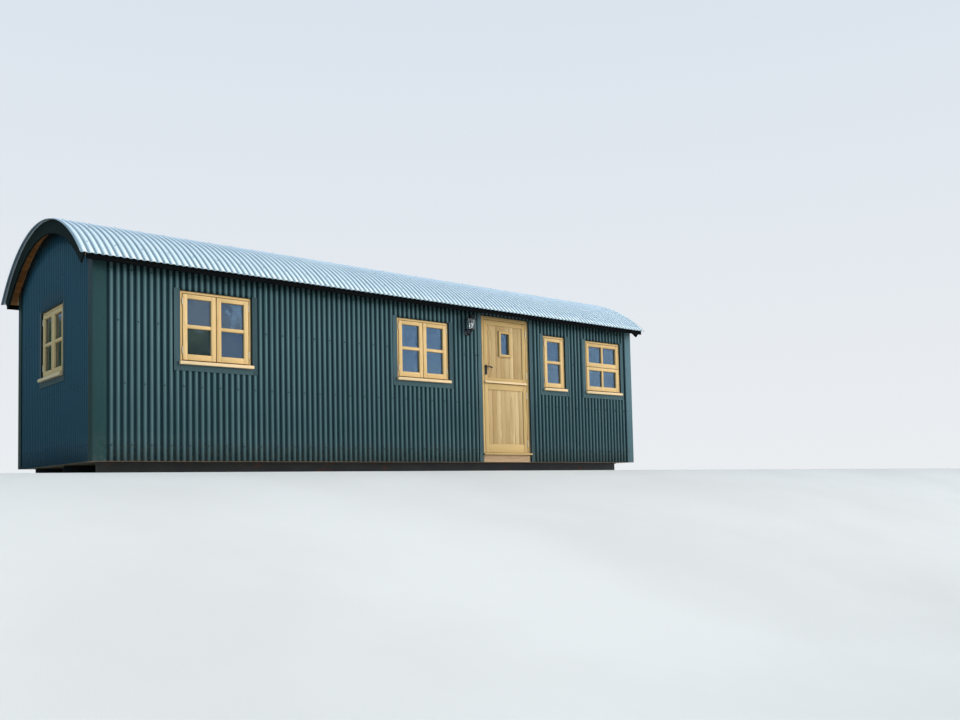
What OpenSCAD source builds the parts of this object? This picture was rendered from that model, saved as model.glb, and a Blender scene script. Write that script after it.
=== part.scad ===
// Shepherd's hut: a long, low room of timber panels under a curved roof of corrugated steel,
// clad in upright corrugated sheets, with oak-framed casements and a stable door in two leaves.
// X runs along the hut, -Y is the front with the door, +Z is up. The origin is on the ground
// under the middle of the hut.

/* [Body] */
// Length over the corner flashings, gable to gable
body_len = 9030; // [8970:1:9400]
// Width over the corner flashings, front to rear
body_w = 3130; // [3040:1:3200]
// Height of the cladding's lower edge above the ground
clad_base = 150; // [130:1:180]
// Thickness of the insulated timber wall panels
wall_t = 110; // [100:1:125]
// Thickness of the floor platform
floor_t = 110; // [95:1:125]

/* [Roof] */
// Height of the roof sheets' lower edge at the eaves
eave_h = 2424; // [2410:1:2465]
// Height of the roof sheets at the crown
crown_h = 3144; // [3080:1:3220]
// How far the roof sheets pass the long walls
eave_over = 188; // [165:1:230]
// How far the roof sheets pass the gables
gable_over = 185; // [150:1:230]
// Thickness of the boarded roof deck
deck_t = 42; // [32:1:50]
// How far the sheets run past the eaves boards
drip = 30; // [20:1:40]
// How far the sheets run past the bargeboards
verge = 50; // [30:1:60]
// Depth of the curved bargeboards
barge_d = 160; // [140:1:170]
// Depth of the straight eaves boards
eaves_d = 68; // [60:1:75]
// Thickness of the bargeboards and eaves boards
barge_t = 22; // [16:1:28]
// Thickness of the soffit boards under the gable overhangs
soffit_t = 14; // [10:1:18]

/* [Corrugated steel] */
// Pitch of the corrugations
corr_pitch = 76.2; // [72:0.1:80]
// Depth of the corrugations, valley to crest
corr_depth = 16; // [12:1:20]
// Thickness of a sheet
sheet_t = 1.6; // [1:0.1:2]
// Thickness of the flat flashings
flash_t = 3; // [2:0.5:4]
// Width of each leg of the corner flashings
corner_w = 150; // [120:1:160]
// Width of the flat flashings beside the windows and the door
trim_w = 76; // [60:1:84]
// Depth of the flat flashings under the windows
trim_under = 75; // [60:1:84]
// How far the flat flashings pass the heads of the openings
trim_over = 22; // [12:1:28]

/* [Windows] */
// Height of the foot of the front window frames
win_base = 1341; // [1310:1:1365]
// How much lower the gable windows stand
gable_drop = 70; // [50:1:90]
// Height of the window frames
win_h = 831; // [800:1:850]
// Width of the double casement windows
double_w = 910; // [880:1:930]
// Width of the narrow window
single_w = 480; // [450:1:500]
// Width of the window with an upper and a lower light
stacked_w = 848; // [830:1:865]
// Middle of the first double window from the left corner
win1_x = 1455; // [1380:1:1500]
// Middle of the second double window from the right corner
win2_x = 4468; // [4400:1:4540]
// Middle of the narrow window from the right corner
win3_x = 1859; // [1840:1:1880]
// Middle of the window with two lights from the right corner
win4_x = 710; // [690:1:725]
// Face width of the window frames
frame_face = 28; // [24:1:36]
// How far the window frames stand back from the flashings
frame_recess = 20; // [14:1:24]
// Depth of the window frames
frame_depth = 88; // [80:1:96]
// Width of the stop behind the casements
frame_stop = 12; // [8:1:16]
// Face width of the casement stiles
stile_face = 58; // [50:1:62]
// Face width of the casement head rails
head_rail = 50; // [44:1:60]
// Face width of the casement foot rails
foot_rail = 67; // [55:1:72]
// Gap round each casement
casement_gap = 3; // [2:0.5:4]
// Thickness of the casements
casement_t = 44; // [38:1:48]
// Face width of the glazing bars
bar_face = 48; // [36:1:54]
// Thickness of the sealed glass
glass_t = 14; // [10:1:18]
// Thickness of the sills
sill_t = 50; // [44:1:60]
// How far the sills stand out from the flashings
sill_out = 40; // [30:1:55]
// How far the sills pass the frames at each end
sill_horn = 15; // [8:1:20]

/* [Stable door] */
// Middle of the door from the right corner
door_x = 2899; // [2880:1:2930]
// Width over the door frame
door_w = 966; // [940:1:985]
// Height of the top of the door frame
door_top = 2360; // [2330:1:2370]
// Height of the split between the leaves
door_split = 1340; // [1300:1:1400]
// Face width of the door frame
post_face = 50; // [44:1:54]
// How far the door frame and leaves stand back from the flashings
door_recess = 24; // [18:1:28]
// Thickness of the leaves
leaf_t = 44; // [40:1:48]
// Clearance round each leaf
leaf_gap = 6; // [5:0.5:7]
// Face width of the leaves' stiles and rails
leaf_stile = 70; // [60:1:84]
// Number of boards between the stiles
board_count = 6; // [4:1:8]
// Width of the door's vision light
light_w = 165; // [150:1:180]
// Height of the door's vision light
light_h = 320; // [300:1:340]
// Middle of the vision light above the split
light_rise = 620; // [600:1:640]

/* [Lantern] */
// Middle of the lantern from the right corner
lantern_x = 3658; // [3640:1:3700]
// Height of the middle of the lantern's wall plate
lantern_h = 2076; // [2050:1:2095]
// How far the lantern's axis stands out from the body
lantern_out = 97; // [94:1:98]

/* [Hidden] */

$fn = 48;

// Gap between pieces that lie against each other
seat = 0.3;
// Overshoot of a cut past the face it opens
cut = 20;
// Straight steps in one corrugation
corr_steps = 6;
corr_step = corr_pitch / corr_steps;
// From the left corner flashing's edge back to the nearest crest of the front sheets
crest_offset = 57;

// Wall faces, from the outside in
skin = flash_t + corr_depth + sheet_t + 2 * seat;
half_len = body_len / 2;
half_w = body_w / 2;
wall_x = half_len - skin;
wall_y = half_w - skin;
floor_top = clad_base + floor_t;

// Roof arc, from its chord at the eaves and its rise
roof_half_len = half_len + gable_over;
eave_y = half_w + eave_over;
roof_rise = crown_h - eave_h;
roof_r = (eave_y * eave_y + roof_rise * roof_rise) / (2 * roof_rise);
roof_z = crown_h - roof_r;
deck_out = roof_r - corr_depth - sheet_t - seat;
deck_in = deck_out - deck_t;
soffit_in = deck_in - seat - soffit_t;
sheet_angle = asin(eave_y / roof_r);
// Upper edge of the front and rear cladding, just under the deck
clad_top = roof_z + sqrt(pow(deck_in - seat, 2) - half_w * half_w) - seat;
deck_half_len = roof_half_len - verge - barge_t - seat;
deck_angle = asin((eave_y - drip - barge_t - seat) / deck_out);
// Upper edge of the eaves boards, under the sheets
eaves_top = roof_z + sqrt(pow(deck_out, 2) - pow(eave_y - drip, 2)) - seat;

// Chassis rails under the floor
rail_w = 90;
rail_web = 10;
rail_flange = 12;
rail_inset = 330;
rail_y = half_w - rail_inset;
rail_end = 140;

// Door, measured from the middle of the hut
door_mid = half_len - door_x;
door_front = -half_w + door_recess;
door_head = door_top - post_face;
door_h = door_top - floor_top - seat;
threshold_t = 24;
threshold_out = 30;
threshold_top = floor_top + seat + threshold_t;
leaf_w = door_w - 2 * (post_face + leaf_gap);
leaf_right = door_mid + leaf_w / 2;
lower_foot = threshold_top + leaf_gap;
lower_top = door_split - leaf_gap / 2;
upper_foot = door_split + leaf_gap / 2;
upper_top = door_head - leaf_gap;
door_depth = skin + wall_t - door_recess;
stop_w = 16;
board_t = 20;
groove = 3;
panel_set = 10;
tongue = 1;
upper_foot_rail = 88;
lower_head_rail = 90;
lower_foot_rail = 132;
bead_face = 40;
bead_proud = 10;
bar_out = 26;
bar_h = 36;
bar_lift = 4;

// Butt hinges, with the pin standing in front of the gap beside the leaf and the plates in it
knuckle_r = 6;
pin_r = 3;
pin_fit = 0.1;
pin_x = leaf_right + leaf_gap / 2;
pin_y = door_front - knuckle_r;
hinge_h = 100;
hinge_plate_w = 36;
hinge_play = 0.4;
hinge_plate_t = (leaf_gap - hinge_play) / 2 - seat;
hinge_rise = 150;
hinge_relief = 1;
pin_end = 3;
knuckle_gap = 1;
// Where a leaf's plate grips its knuckle, in the wall between the bore and the outside
plate_root = (pin_r + pin_fit + knuckle_r) / 2;
// Height of a hinge taken by the leaf's knuckle, midway up the pin
leaf_knuckle_h = hinge_h / 3;
hinge_heights = [
    lower_foot + hinge_rise,
    lower_top - hinge_rise,
    upper_foot + hinge_rise,
    upper_top - hinge_rise
];

// Lantern
arm_r = 8;
plate_r = 54;
plate_front_r = 38;
plate_depth = 18;
neck_r = (lantern_out + flash_t - plate_depth) / 2;
glass_low_r = 40;
glass_top_r = 62;
glass_low_z = 36;
glass_top_z = 172;
glass_wall = 3;
cup_r = 48;
rim_r = 90;
vent_r = 40;
finial_r = 7;
strut_w = 6;
strut_t = 5;

// Handle
plate_w = 44;
plate_h = 150;
plate_t = 6;
plate_inset = 35;
plate_mid_x = door_mid - leaf_w / 2 + plate_inset;
plate_rise = 200;
plate_mid_z = upper_foot + plate_rise;
spindle_r = 6;
spindle_z = plate_mid_z + 48;
lever_r = 7;
lever_len = 105;
lever_reach = 46;

// Middle of each front window, measured from the middle of the hut
front_x = [win1_x - half_len, half_len - win2_x, half_len - win3_x, half_len - win4_x];
front_w = [double_w, double_w, single_w, stacked_w];
casement_proud = 5;
bar_set = 5;
sill_fall = 12;
glass_back = 6;
glass_front = casement_t - glass_t - glass_back;
clear_h = win_h - frame_face - 2 * casement_gap;
double_leaf_w = (double_w - 2 * frame_face - 3 * casement_gap) / 2;
single_leaf_w = single_w - 2 * frame_face - 2 * casement_gap;
stacked_leaf_w = stacked_w - 2 * frame_face - 2 * casement_gap;
stacked_leaf_h = (clear_h - casement_gap) / 2;

// Roof arc of a given radius as a solid drum along the hut
module arch_drum(r) {
    translate([-roof_half_len - cut, 0, roof_z])
        rotate([0, 90, 0])
            cylinder(r = r, h = 2 * (roof_half_len + cut), $fn = 180);
}

// Part of a curved shell along the hut, from its radii, its half angle and its ends
module arch_shell(r_in, r_out, half_angle, x0, x1) {
    arch_sweep(half_angle)
        translate([r_in, x0])
            square([r_out - r_in, x1 - x0]);
}

// Sweeps a profile, radius across and hut length up, over the roof's half angle each way
module arch_sweep(half_angle) {
    translate([0, 0, roof_z])
        rotate([0, 90, 0])
            rotate([0, 0, 180 - half_angle])
                rotate_extrude(angle = 2 * half_angle, $fn = 180)
                    children();
}

// Height of a corrugated sheet's back face at a place along it
function wave(x) = corr_depth / 2 * (1 + cos(360 * x / corr_pitch));

// Section of a corrugated sheet from x0 to x1, with a crest at x = phase
module corrugated_section(x0, x1, phase) {
    first = ceil((x0 - phase) / corr_step);
    last = floor((x1 - phase) / corr_step);
    back = [for (i = [first:last]) [phase + i * corr_step, wave(i * corr_step)]];
    face = [for (i = [last:-1:first]) [phase + i * corr_step, wave(i * corr_step) + sheet_t]];
    polygon(concat(back, face));
}

// Upright corrugated sheets against a wall face, crests towards -Y, wall face at y = 0
module upright_sheets(x0, x1, top, phase) {
    translate([0, -seat, clad_base])
        mirror([0, 1, 0])
            linear_extrude(top - clad_base)
                corrugated_section(x0, x1, phase);
}

// Lets the left (-1) or right (1) gable use a piece drawn on the front, facing -Y at y = 0
module on_gable(side, reach) {
    translate([side * reach, 0, 0])
        rotate([0, 0, side * 90])
            children();
}

// Places each front window's children, which are drawn for one window by its number
module at_front_window(i) {
    translate([front_x[i], -half_w, win_base])
        children();
}

// Places children at the foot of the window of the left (-1) or right (1) gable
module at_gable_window(side) {
    on_gable(side, half_len)
        translate([0, 0, win_base - gable_drop])
            children();
}

// Places children at the middle of the doorway, on the floor, at the flashings' face
module at_door() {
    translate([door_mid, -half_w, floor_top + seat])
        children();
}

// Hole for a window frame and its sill in a wall, whose outer face is near y = 0
module window_cut(w) {
    translate([-w / 2 - seat, -cut, -sill_t - 2 * seat])
        cube([w + 2 * seat, skin + wall_t + 2 * cut, win_h + sill_t + 3 * seat]);
}

// Hole in the cladding, wider by the folded edge of the flashing round the opening
module sheet_cut(w, h, foot) {
    edge = flash_t + 2 * seat;
    translate([-w / 2 - edge, -cut, -foot])
        cube([w + 2 * edge, skin + 2 * cut, h + foot + edge]);
}

module window_sheet_cut(w) {
    sheet_cut(w, win_h, sill_t + 2 * seat);
}

module chassis_rails() {
    color("dimgray")
        for (y = [-rail_y, 0, rail_y])
            translate([-half_len + rail_end, y, 0])
                rotate([90, 0, 90])
                    linear_extrude(body_len - 2 * rail_end)
                        rail_section();
}

// I-beam section standing on the ground under the floor
module rail_section() {
    translate([-rail_w / 2, 0])
        square([rail_w, rail_flange]);
    translate([-rail_web / 2, 0])
        square([rail_web, clad_base]);
    translate([-rail_w / 2, clad_base - rail_flange])
        square([rail_w, rail_flange]);
}

module floor_deck() {
    color("burlywood")
        translate([-wall_x, -wall_y, clad_base])
            cube([2 * wall_x, 2 * wall_y, floor_t]);
}

// Stretch of the front wall between two places along the hut, cut to the roof arc
module front_wall_stretch(x0, x1, z0) {
    intersection() {
        translate([x0, -wall_y, z0])
            cube([x1 - x0, wall_t, crown_h - z0]);
        arch_drum(deck_in - seat);
    }
}

module front_wall_left() {
    color("tan")
        difference() {
            front_wall_stretch(-wall_x, door_mid - door_w / 2 - seat, floor_top);
            for (i = [0, 1])
                at_front_window(i)
                    window_cut(front_w[i]);
        }
}

module front_wall_right() {
    color("tan")
        difference() {
            front_wall_stretch(door_mid + door_w / 2 + seat, wall_x, floor_top);
            for (i = [2, 3])
                at_front_window(i)
                    window_cut(front_w[i]);
        }
}

module front_wall_over_door() {
    color("tan")
        front_wall_stretch(door_mid - door_w / 2 - seat, door_mid + door_w / 2 + seat, door_top + seat);
}

module rear_wall() {
    color("tan")
        mirror([0, 1, 0])
            front_wall_stretch(-wall_x, wall_x, floor_top);
}

// Gable wall between the long walls, cut to the roof arc
module gable_wall(side) {
    inner_y = wall_y - wall_t;
    difference() {
        intersection() {
            translate([side > 0 ? wall_x - wall_t : -wall_x, -inner_y, floor_top])
                cube([wall_t, 2 * inner_y, crown_h - floor_top]);
            arch_drum(deck_in - seat);
        }
        at_gable_window(side)
            window_cut(double_w);
    }
}

module left_gable_wall() {
    color("tan")
        gable_wall(-1);
}

module right_gable_wall() {
    color("tan")
        gable_wall(1);
}

module roof_deck() {
    color("peru")
        arch_shell(deck_in, deck_out, deck_angle, -deck_half_len, deck_half_len);
}

// Curved corrugated sheets, with a crest over the middle of the hut
module roof_sheets() {
    color("lightsteelblue")
        arch_sweep(sheet_angle)
            translate([deck_out + seat, 0])
                rotate([0, 0, 90])
                    mirror([0, 1, 0])
                        corrugated_section(-roof_half_len, roof_half_len, 0);
}

// Board along the lower edge of the deck, just behind the drip of the sheets
module eaves_board() {
    translate([-deck_half_len, drip - eave_y, eaves_top - eaves_d])
        cube([2 * deck_half_len, barge_t, eaves_d]);
}

module eaves_boards() {
    color("darkslategray") {
        eaves_board();
        mirror([0, 1, 0])
            eaves_board();
    }
}

// Curved board across the end of the deck, under the last corrugation
module bargeboard(side) {
    near = roof_half_len - verge - barge_t;
    far = roof_half_len - verge;
    arch_shell(deck_out - barge_d, deck_out, deck_angle, side > 0 ? near : -far, side > 0 ? far : -near);
}

module left_bargeboard() {
    color("darkslategray")
        bargeboard(-1);
}

module right_bargeboard() {
    color("darkslategray")
        bargeboard(1);
}

// Boards under the deck where it passes a gable
module gable_soffit(side) {
    near = half_len + seat;
    far = deck_half_len;
    arch_shell(soffit_in, deck_in - seat, deck_angle, side > 0 ? near : -far, side > 0 ? far : -near);
}

module left_soffit() {
    color("sienna")
        gable_soffit(-1);
}

module right_soffit() {
    color("sienna")
        gable_soffit(1);
}

module front_cladding() {
    color("darkslategray")
        difference() {
            translate([0, -wall_y, 0])
                upright_sheets(-wall_x, wall_x, clad_top, -half_len + corner_w + crest_offset);
            for (i = [0:3])
                at_front_window(i)
                    window_sheet_cut(front_w[i]);
            at_door()
                sheet_cut(door_w, door_h, 0);
        }
}

module rear_cladding() {
    color("darkslategray")
        mirror([0, 1, 0])
            translate([0, -wall_y, 0])
                upright_sheets(-wall_x, wall_x, clad_top, 0);
}

// Sheets of one gable, cut to the roof arc and round the window
module gable_cladding(side) {
    intersection() {
        difference() {
            on_gable(side, wall_x)
                upright_sheets(-wall_y, wall_y, crown_h, 0);
            at_gable_window(side)
                window_sheet_cut(double_w);
        }
        arch_drum(deck_in - seat);
    }
}

module left_gable_cladding() {
    color("darkslategray")
        gable_cladding(-1);
}

module right_gable_cladding() {
    color("darkslategray")
        gable_cladding(1);
}

// One L-shaped flashing at the rear right corner
module corner_flashing() {
    intersection() {
        translate([half_len, half_w, clad_base])
            mirror([1, 1, 0])
                linear_extrude(crown_h - clad_base)
                    polygon([[0, 0], [corner_w, 0], [corner_w, flash_t], [flash_t, flash_t],
                        [flash_t, corner_w], [0, corner_w]]);
        arch_drum(deck_in - seat);
    }
}

module corner_flashings() {
    color("slategray")
        for (mx = [0, 1], my = [0, 1])
            mirror([mx, 0, 0])
                mirror([0, my, 0])
                    corner_flashing();
}

// Flat flashings beside an opening, folded back along its sides and its head
module opening_flashing(w, h, foot) {
    fold = skin - seat;
    for (side = [-1, 1]) {
        translate([side > 0 ? w / 2 + seat : -w / 2 - seat - trim_w, 0, -foot])
            cube([trim_w, flash_t, h + foot + trim_over]);
        translate([side > 0 ? w / 2 + seat : -w / 2 - seat - flash_t, 0, 0])
            cube([flash_t, fold, h + seat + flash_t]);
    }
    translate([-w / 2 - seat - flash_t, 0, h + seat])
        cube([w + 2 * (seat + flash_t), fold, flash_t]);
}

// Flashings of one window, with a flat strip under its sill
module window_flashing(w) {
    foot = sill_t + trim_under;
    opening_flashing(w, win_h, foot);
    translate([-w / 2 - 2 * seat, 0, -foot])
        cube([w + 4 * seat, flash_t, trim_under - 3 * seat]);
}

module window_flashings() {
    color("slategray") {
        for (i = [0:3])
            at_front_window(i)
                window_flashing(front_w[i]);
        for (side = [-1, 1])
            at_gable_window(side)
                window_flashing(double_w);
    }
}

module door_flashings() {
    color("slategray")
        at_door()
            opening_flashing(door_w, door_h, floor_t + seat);
}

// Frame of a window: two posts and a head on the sill, with a stop behind the casements
module window_frame(w) {
    clear_w = w - 2 * frame_face;
    rebate = casement_t - casement_proud + seat;
    translate([-w / 2, frame_recess, 0])
        difference() {
            cube([w, frame_depth, win_h]);
            translate([frame_face, -cut, -cut])
                cube([clear_w, rebate + cut, win_h - frame_face + cut]);
            translate([frame_face + frame_stop, -cut, -cut])
                cube([clear_w - 2 * frame_stop, frame_depth + 2 * cut,
                    win_h - frame_face - frame_stop + cut]);
        }
}

module front_window_1_frame() {
    color("burlywood")
        at_front_window(0)
            window_frame(double_w);
}

module front_window_2_frame() {
    color("burlywood")
        at_front_window(1)
            window_frame(double_w);
}

module front_window_3_frame() {
    color("burlywood")
        at_front_window(2)
            window_frame(single_w);
}

module front_window_4_frame() {
    color("burlywood")
        at_front_window(3)
            window_frame(stacked_w);
}

module left_gable_window_frame() {
    color("burlywood")
        at_gable_window(-1)
            window_frame(double_w);
}

module right_gable_window_frame() {
    color("burlywood")
        at_gable_window(1)
            window_frame(double_w);
}

// One casement standing in its frame, its glass crossed by a level or by an upright bar
module casement(w, h, upright) {
    bar_t = glass_front - bar_set;
    glazed_w = w - 2 * stile_face;
    glazed_h = h - head_rail - foot_rail;
    difference() {
        translate([-w / 2, 0, 0])
            cube([w, casement_t, h]);
        translate([-glazed_w / 2, -cut, foot_rail])
            cube([glazed_w, casement_t + 2 * cut, glazed_h]);
    }
    if (upright)
        translate([-bar_face / 2, bar_set, foot_rail - tongue])
            cube([bar_face, bar_t, glazed_h + 2 * tongue]);
    else
        translate([-glazed_w / 2 - tongue, bar_set, foot_rail + (glazed_h - bar_face) / 2])
            cube([glazed_w + 2 * tongue, bar_t, bar_face]);
}

// Places children in a window frame as its casements stand: side by side, alone or stacked
module in_double_frame() {
    for (side = [-1, 1])
        translate([side * (double_leaf_w + casement_gap) / 2, 0, 0])
            in_single_frame()
                children();
}

module in_single_frame() {
    translate([0, frame_recess - casement_proud, casement_gap])
        children();
}

module in_stacked_frame() {
    for (row = [0, 1])
        translate([0, 0, row * (stacked_leaf_h + casement_gap)])
            in_single_frame()
                children();
}

// Two casements side by side, each with one bar across
module double_casements() {
    in_double_frame()
        casement(double_leaf_w, clear_h, false);
}

module front_window_1_casements() {
    color("burlywood")
        at_front_window(0)
            double_casements();
}

module front_window_2_casements() {
    color("burlywood")
        at_front_window(1)
            double_casements();
}

module front_window_3_casement() {
    color("burlywood")
        at_front_window(2)
            in_single_frame()
                casement(single_leaf_w, clear_h, false);
}

// An upper and a lower light, each with one upright bar
module front_window_4_lights() {
    color("burlywood")
        at_front_window(3)
            in_stacked_frame()
                casement(stacked_leaf_w, stacked_leaf_h, true);
}

module left_gable_casements() {
    color("burlywood")
        at_gable_window(-1)
            double_casements();
}

module right_gable_casements() {
    color("burlywood")
        at_gable_window(1)
            double_casements();
}

// Sheet of sealed glass behind the bars of one casement
module glass_sheet(w, h) {
    inset = stile_face + seat;
    translate([-w / 2 + inset, glass_front + seat, foot_rail + seat])
        cube([w - 2 * inset, glass_t, h - head_rail - foot_rail - 2 * seat]);
}

module double_glass() {
    in_double_frame()
        glass_sheet(double_leaf_w, clear_h);
}

module window_glass() {
    color("lightblue", 0.4) {
        for (i = [0, 1])
            at_front_window(i)
                double_glass();
        at_front_window(2)
            in_single_frame()
                glass_sheet(single_leaf_w, clear_h);
        at_front_window(3)
            in_stacked_frame()
                glass_sheet(stacked_leaf_w, stacked_leaf_h);
        for (side = [-1, 1])
            at_gable_window(side)
                double_glass();
    }
}

// Sill with a sloped top, its horns lying over the flashings beside the window
module window_sill(w) {
    top = -seat;
    nose = sill_t - sill_fall;
    horn_top = nose + sill_fall * sill_out / (sill_out + frame_recess);
    sill_in = frame_recess + frame_depth;
    translate([w / 2, 0, top - sill_t])
        rotate([90, 0, -90])
            linear_extrude(w)
                polygon([[-sill_in, 0], [sill_out, 0], [sill_out, nose], [-frame_recess, sill_t],
                    [-sill_in, sill_t]]);
    for (side = [-1, 1])
        translate([side > 0 ? w / 2 + sill_horn : -w / 2, 0, top - sill_t])
            rotate([90, 0, -90])
                linear_extrude(sill_horn)
                    polygon([[seat, 0], [sill_out, 0], [sill_out, nose], [seat, horn_top]]);
}

module window_sills() {
    color("burlywood") {
        for (i = [0:3])
            at_front_window(i)
                window_sill(front_w[i]);
        for (side = [-1, 1])
            at_gable_window(side)
                window_sill(double_w);
    }
}

// Frame of the stable door: two posts and a head, with a stop behind the leaves
module door_frame() {
    color("burlywood")
        at_door()
            translate([-door_w / 2, door_recess, 0])
                difference() {
                    cube([door_w, door_depth, door_h]);
                    translate([post_face, -cut, -cut])
                        cube([door_w - 2 * post_face, leaf_t + leaf_gap + cut, door_h - post_face + cut]);
                    translate([post_face + stop_w, -cut, -cut])
                        cube([door_w - 2 * (post_face + stop_w), door_depth + 2 * cut,
                            door_h - post_face - stop_w + cut]);
                }
}

// Hardwood threshold between the door posts, with a nose in front of them
module door_threshold() {
    outer_w = door_w - 2 * post_face - 2 * seat;
    inner_w = outer_w - 2 * stop_w;
    color("peru")
        at_door() {
            translate([-door_w / 2, -threshold_out, 0])
                cube([door_w, threshold_out + door_recess - seat, threshold_t]);
            translate([-outer_w / 2, 0, 0])
                cube([outer_w, door_recess + leaf_t, threshold_t]);
            translate([-inner_w / 2, door_recess, 0])
                cube([inner_w, door_depth, threshold_t]);
        }
}

// Board panel of a leaf with a V groove at each joint, standing on z = 0
module boards(w, h) {
    board_w = w / board_count;
    linear_extrude(h)
        difference() {
            square([w, board_t]);
            for (i = [1:board_count - 1])
                translate([i * board_w, 0])
                    rotate(45)
                        square(groove * sqrt(2), center = true);
        }
}

// Stiles and rails of a leaf round a sunk panel of boards, its foot at z = 0
module framed_leaf(h, top_rail, foot_rail) {
    panel_w = leaf_w - 2 * (leaf_stile - tongue);
    panel_h = h - top_rail - foot_rail + 2 * tongue;
    difference() {
        cube([leaf_w, leaf_t, h]);
        translate([leaf_stile, -cut, foot_rail])
            cube([leaf_w - 2 * leaf_stile, leaf_t + 2 * cut, h - top_rail - foot_rail]);
    }
    translate([leaf_stile - tongue, panel_set, foot_rail - tongue])
        boards(panel_w, panel_h);
}

module at_leaf(z) {
    translate([door_mid - leaf_w / 2, door_front, z])
        children();
}

// Upper leaf with a hole for the vision light, its moulding, and a weather bar at its foot
module door_upper_leaf() {
    light_z = door_split + light_rise - upper_foot;
    color("burlywood")
        at_leaf(upper_foot) {
            difference() {
                union() {
                    framed_leaf(upper_top - upper_foot, leaf_stile, upper_foot_rail);
                    translate([leaf_w / 2, 0, light_z])
                        light_block(light_w + 2 * bead_face, light_h + 2 * bead_face, bead_proud, leaf_t);
                }
                translate([leaf_w / 2, 0, light_z])
                    light_block(light_w, light_h, cut, leaf_t + cut);
            }
            translate([0, 0, bar_lift])
                rotate([90, 0, 90])
                    linear_extrude(leaf_w)
                        polygon([[tongue, 0], [-bar_out, 0], [-bar_out, bar_h / 2], [-bar_lift, bar_h],
                            [tongue, bar_h]]);
        }
}

// Block round the middle of the vision light, reaching out and in from the leaf's face
module light_block(w, h, out, in) {
    translate([-w / 2, -out, -h / 2])
        cube([w, out + in, h]);
}

module door_glass() {
    color("lightblue", 0.4)
        at_leaf(upper_foot)
            translate([leaf_w / 2, 0, door_split + light_rise - upper_foot])
                translate([seat - light_w / 2, glass_front, seat - light_h / 2])
                    cube([light_w - 2 * seat, glass_t, light_h - 2 * seat]);
}

module door_lower_leaf() {
    color("burlywood")
        at_leaf(lower_foot)
            framed_leaf(lower_top - lower_foot, lower_head_rail, lower_foot_rail);
}

// Knuckles, pin and plate that stay on the door frame
module frame_hinge() {
    side_h = (hinge_h - leaf_knuckle_h) / 2 - knuckle_gap;
    cylinder(r = pin_r, h = hinge_h + 2 * pin_end, center = true);
    for (end = [-1, 1])
        translate([0, 0, end * (hinge_h - side_h) / 2]) {
            cylinder(r = knuckle_r, h = side_h, center = true);
            translate([hinge_play / 2, 0, -side_h / 2])
                cube([hinge_plate_t, hinge_plate_w, side_h]);
        }
    translate([hinge_play / 2, knuckle_r + hinge_relief, -hinge_h / 2])
        cube([hinge_plate_t, hinge_plate_w - knuckle_r - hinge_relief, hinge_h]);
}

// Knuckle and plate that ride on a leaf, bored for the pin
module leaf_hinge() {
    difference() {
        cylinder(r = knuckle_r, h = leaf_knuckle_h, center = true);
        cylinder(r = pin_r + pin_fit, h = hinge_h, center = true);
    }
    translate([-hinge_play / 2 - hinge_plate_t, plate_root, -leaf_knuckle_h / 2])
        cube([hinge_plate_t, hinge_plate_w - plate_root, leaf_knuckle_h]);
    translate([-hinge_play / 2 - hinge_plate_t, knuckle_r + hinge_relief, -hinge_h / 2])
        cube([hinge_plate_t, hinge_plate_w - knuckle_r - hinge_relief, hinge_h]);
}

module door_frame_hinges() {
    color("gainsboro")
        for (z = hinge_heights)
            translate([pin_x, pin_y, z])
                frame_hinge();
}

module upper_leaf_hinges() {
    color("gainsboro")
        for (i = [2, 3])
            translate([pin_x, pin_y, hinge_heights[i]])
                leaf_hinge();
}

module lower_leaf_hinges() {
    color("gainsboro")
        for (i = [0, 1])
            translate([pin_x, pin_y, hinge_heights[i]])
                leaf_hinge();
}

// Back plate of the handle, bored for the lever's spindle
module handle_plate() {
    color("black")
        translate([plate_mid_x, door_front - seat, plate_mid_z])
            difference() {
                translate([-plate_w / 2, -plate_t, -plate_h / 2])
                    cube([plate_w, plate_t, plate_h]);
                translate([0, 0, spindle_z - plate_mid_z])
                    rotate([90, 0, 0])
                        cylinder(r = spindle_r + pin_fit, h = 4 * plate_t, center = true);
            }
}

// Lever on its spindle, pointing towards the hinges
module door_lever() {
    color("black")
        translate([plate_mid_x, door_front - 2 * seat, spindle_z]) {
            rotate([90, 0, 0])
                cylinder(r = spindle_r, h = lever_reach + lever_r);
            translate([0, -lever_reach, 0])
                rotate([0, 90, 0])
                    cylinder(r = lever_r, h = lever_len);
            translate([lever_len, -lever_reach, 0])
                sphere(r = lever_r);
        }
}

// Wall plate and swan-neck arm of the lantern
module lantern_bracket() {
    color("black")
        translate([half_len - lantern_x, -half_w + flash_t, lantern_h]) {
            rotate([90, 0, 0])
                cylinder(r1 = plate_r, r2 = plate_front_r, h = plate_depth + tongue);
            translate([0, -plate_depth - neck_r, 0])
                rotate([0, 90, 0])
                    rotate([0, 0, -90])
                        rotate_extrude(angle = 180)
                            translate([neck_r, 0])
                                circle(r = arm_r);
        }
}

// Places children on the lantern's upright axis, with z = 0 at the top of its arm
module at_lantern() {
    translate([half_len - lantern_x, -half_w - lantern_out, lantern_h + seat])
        children();
}

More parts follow.
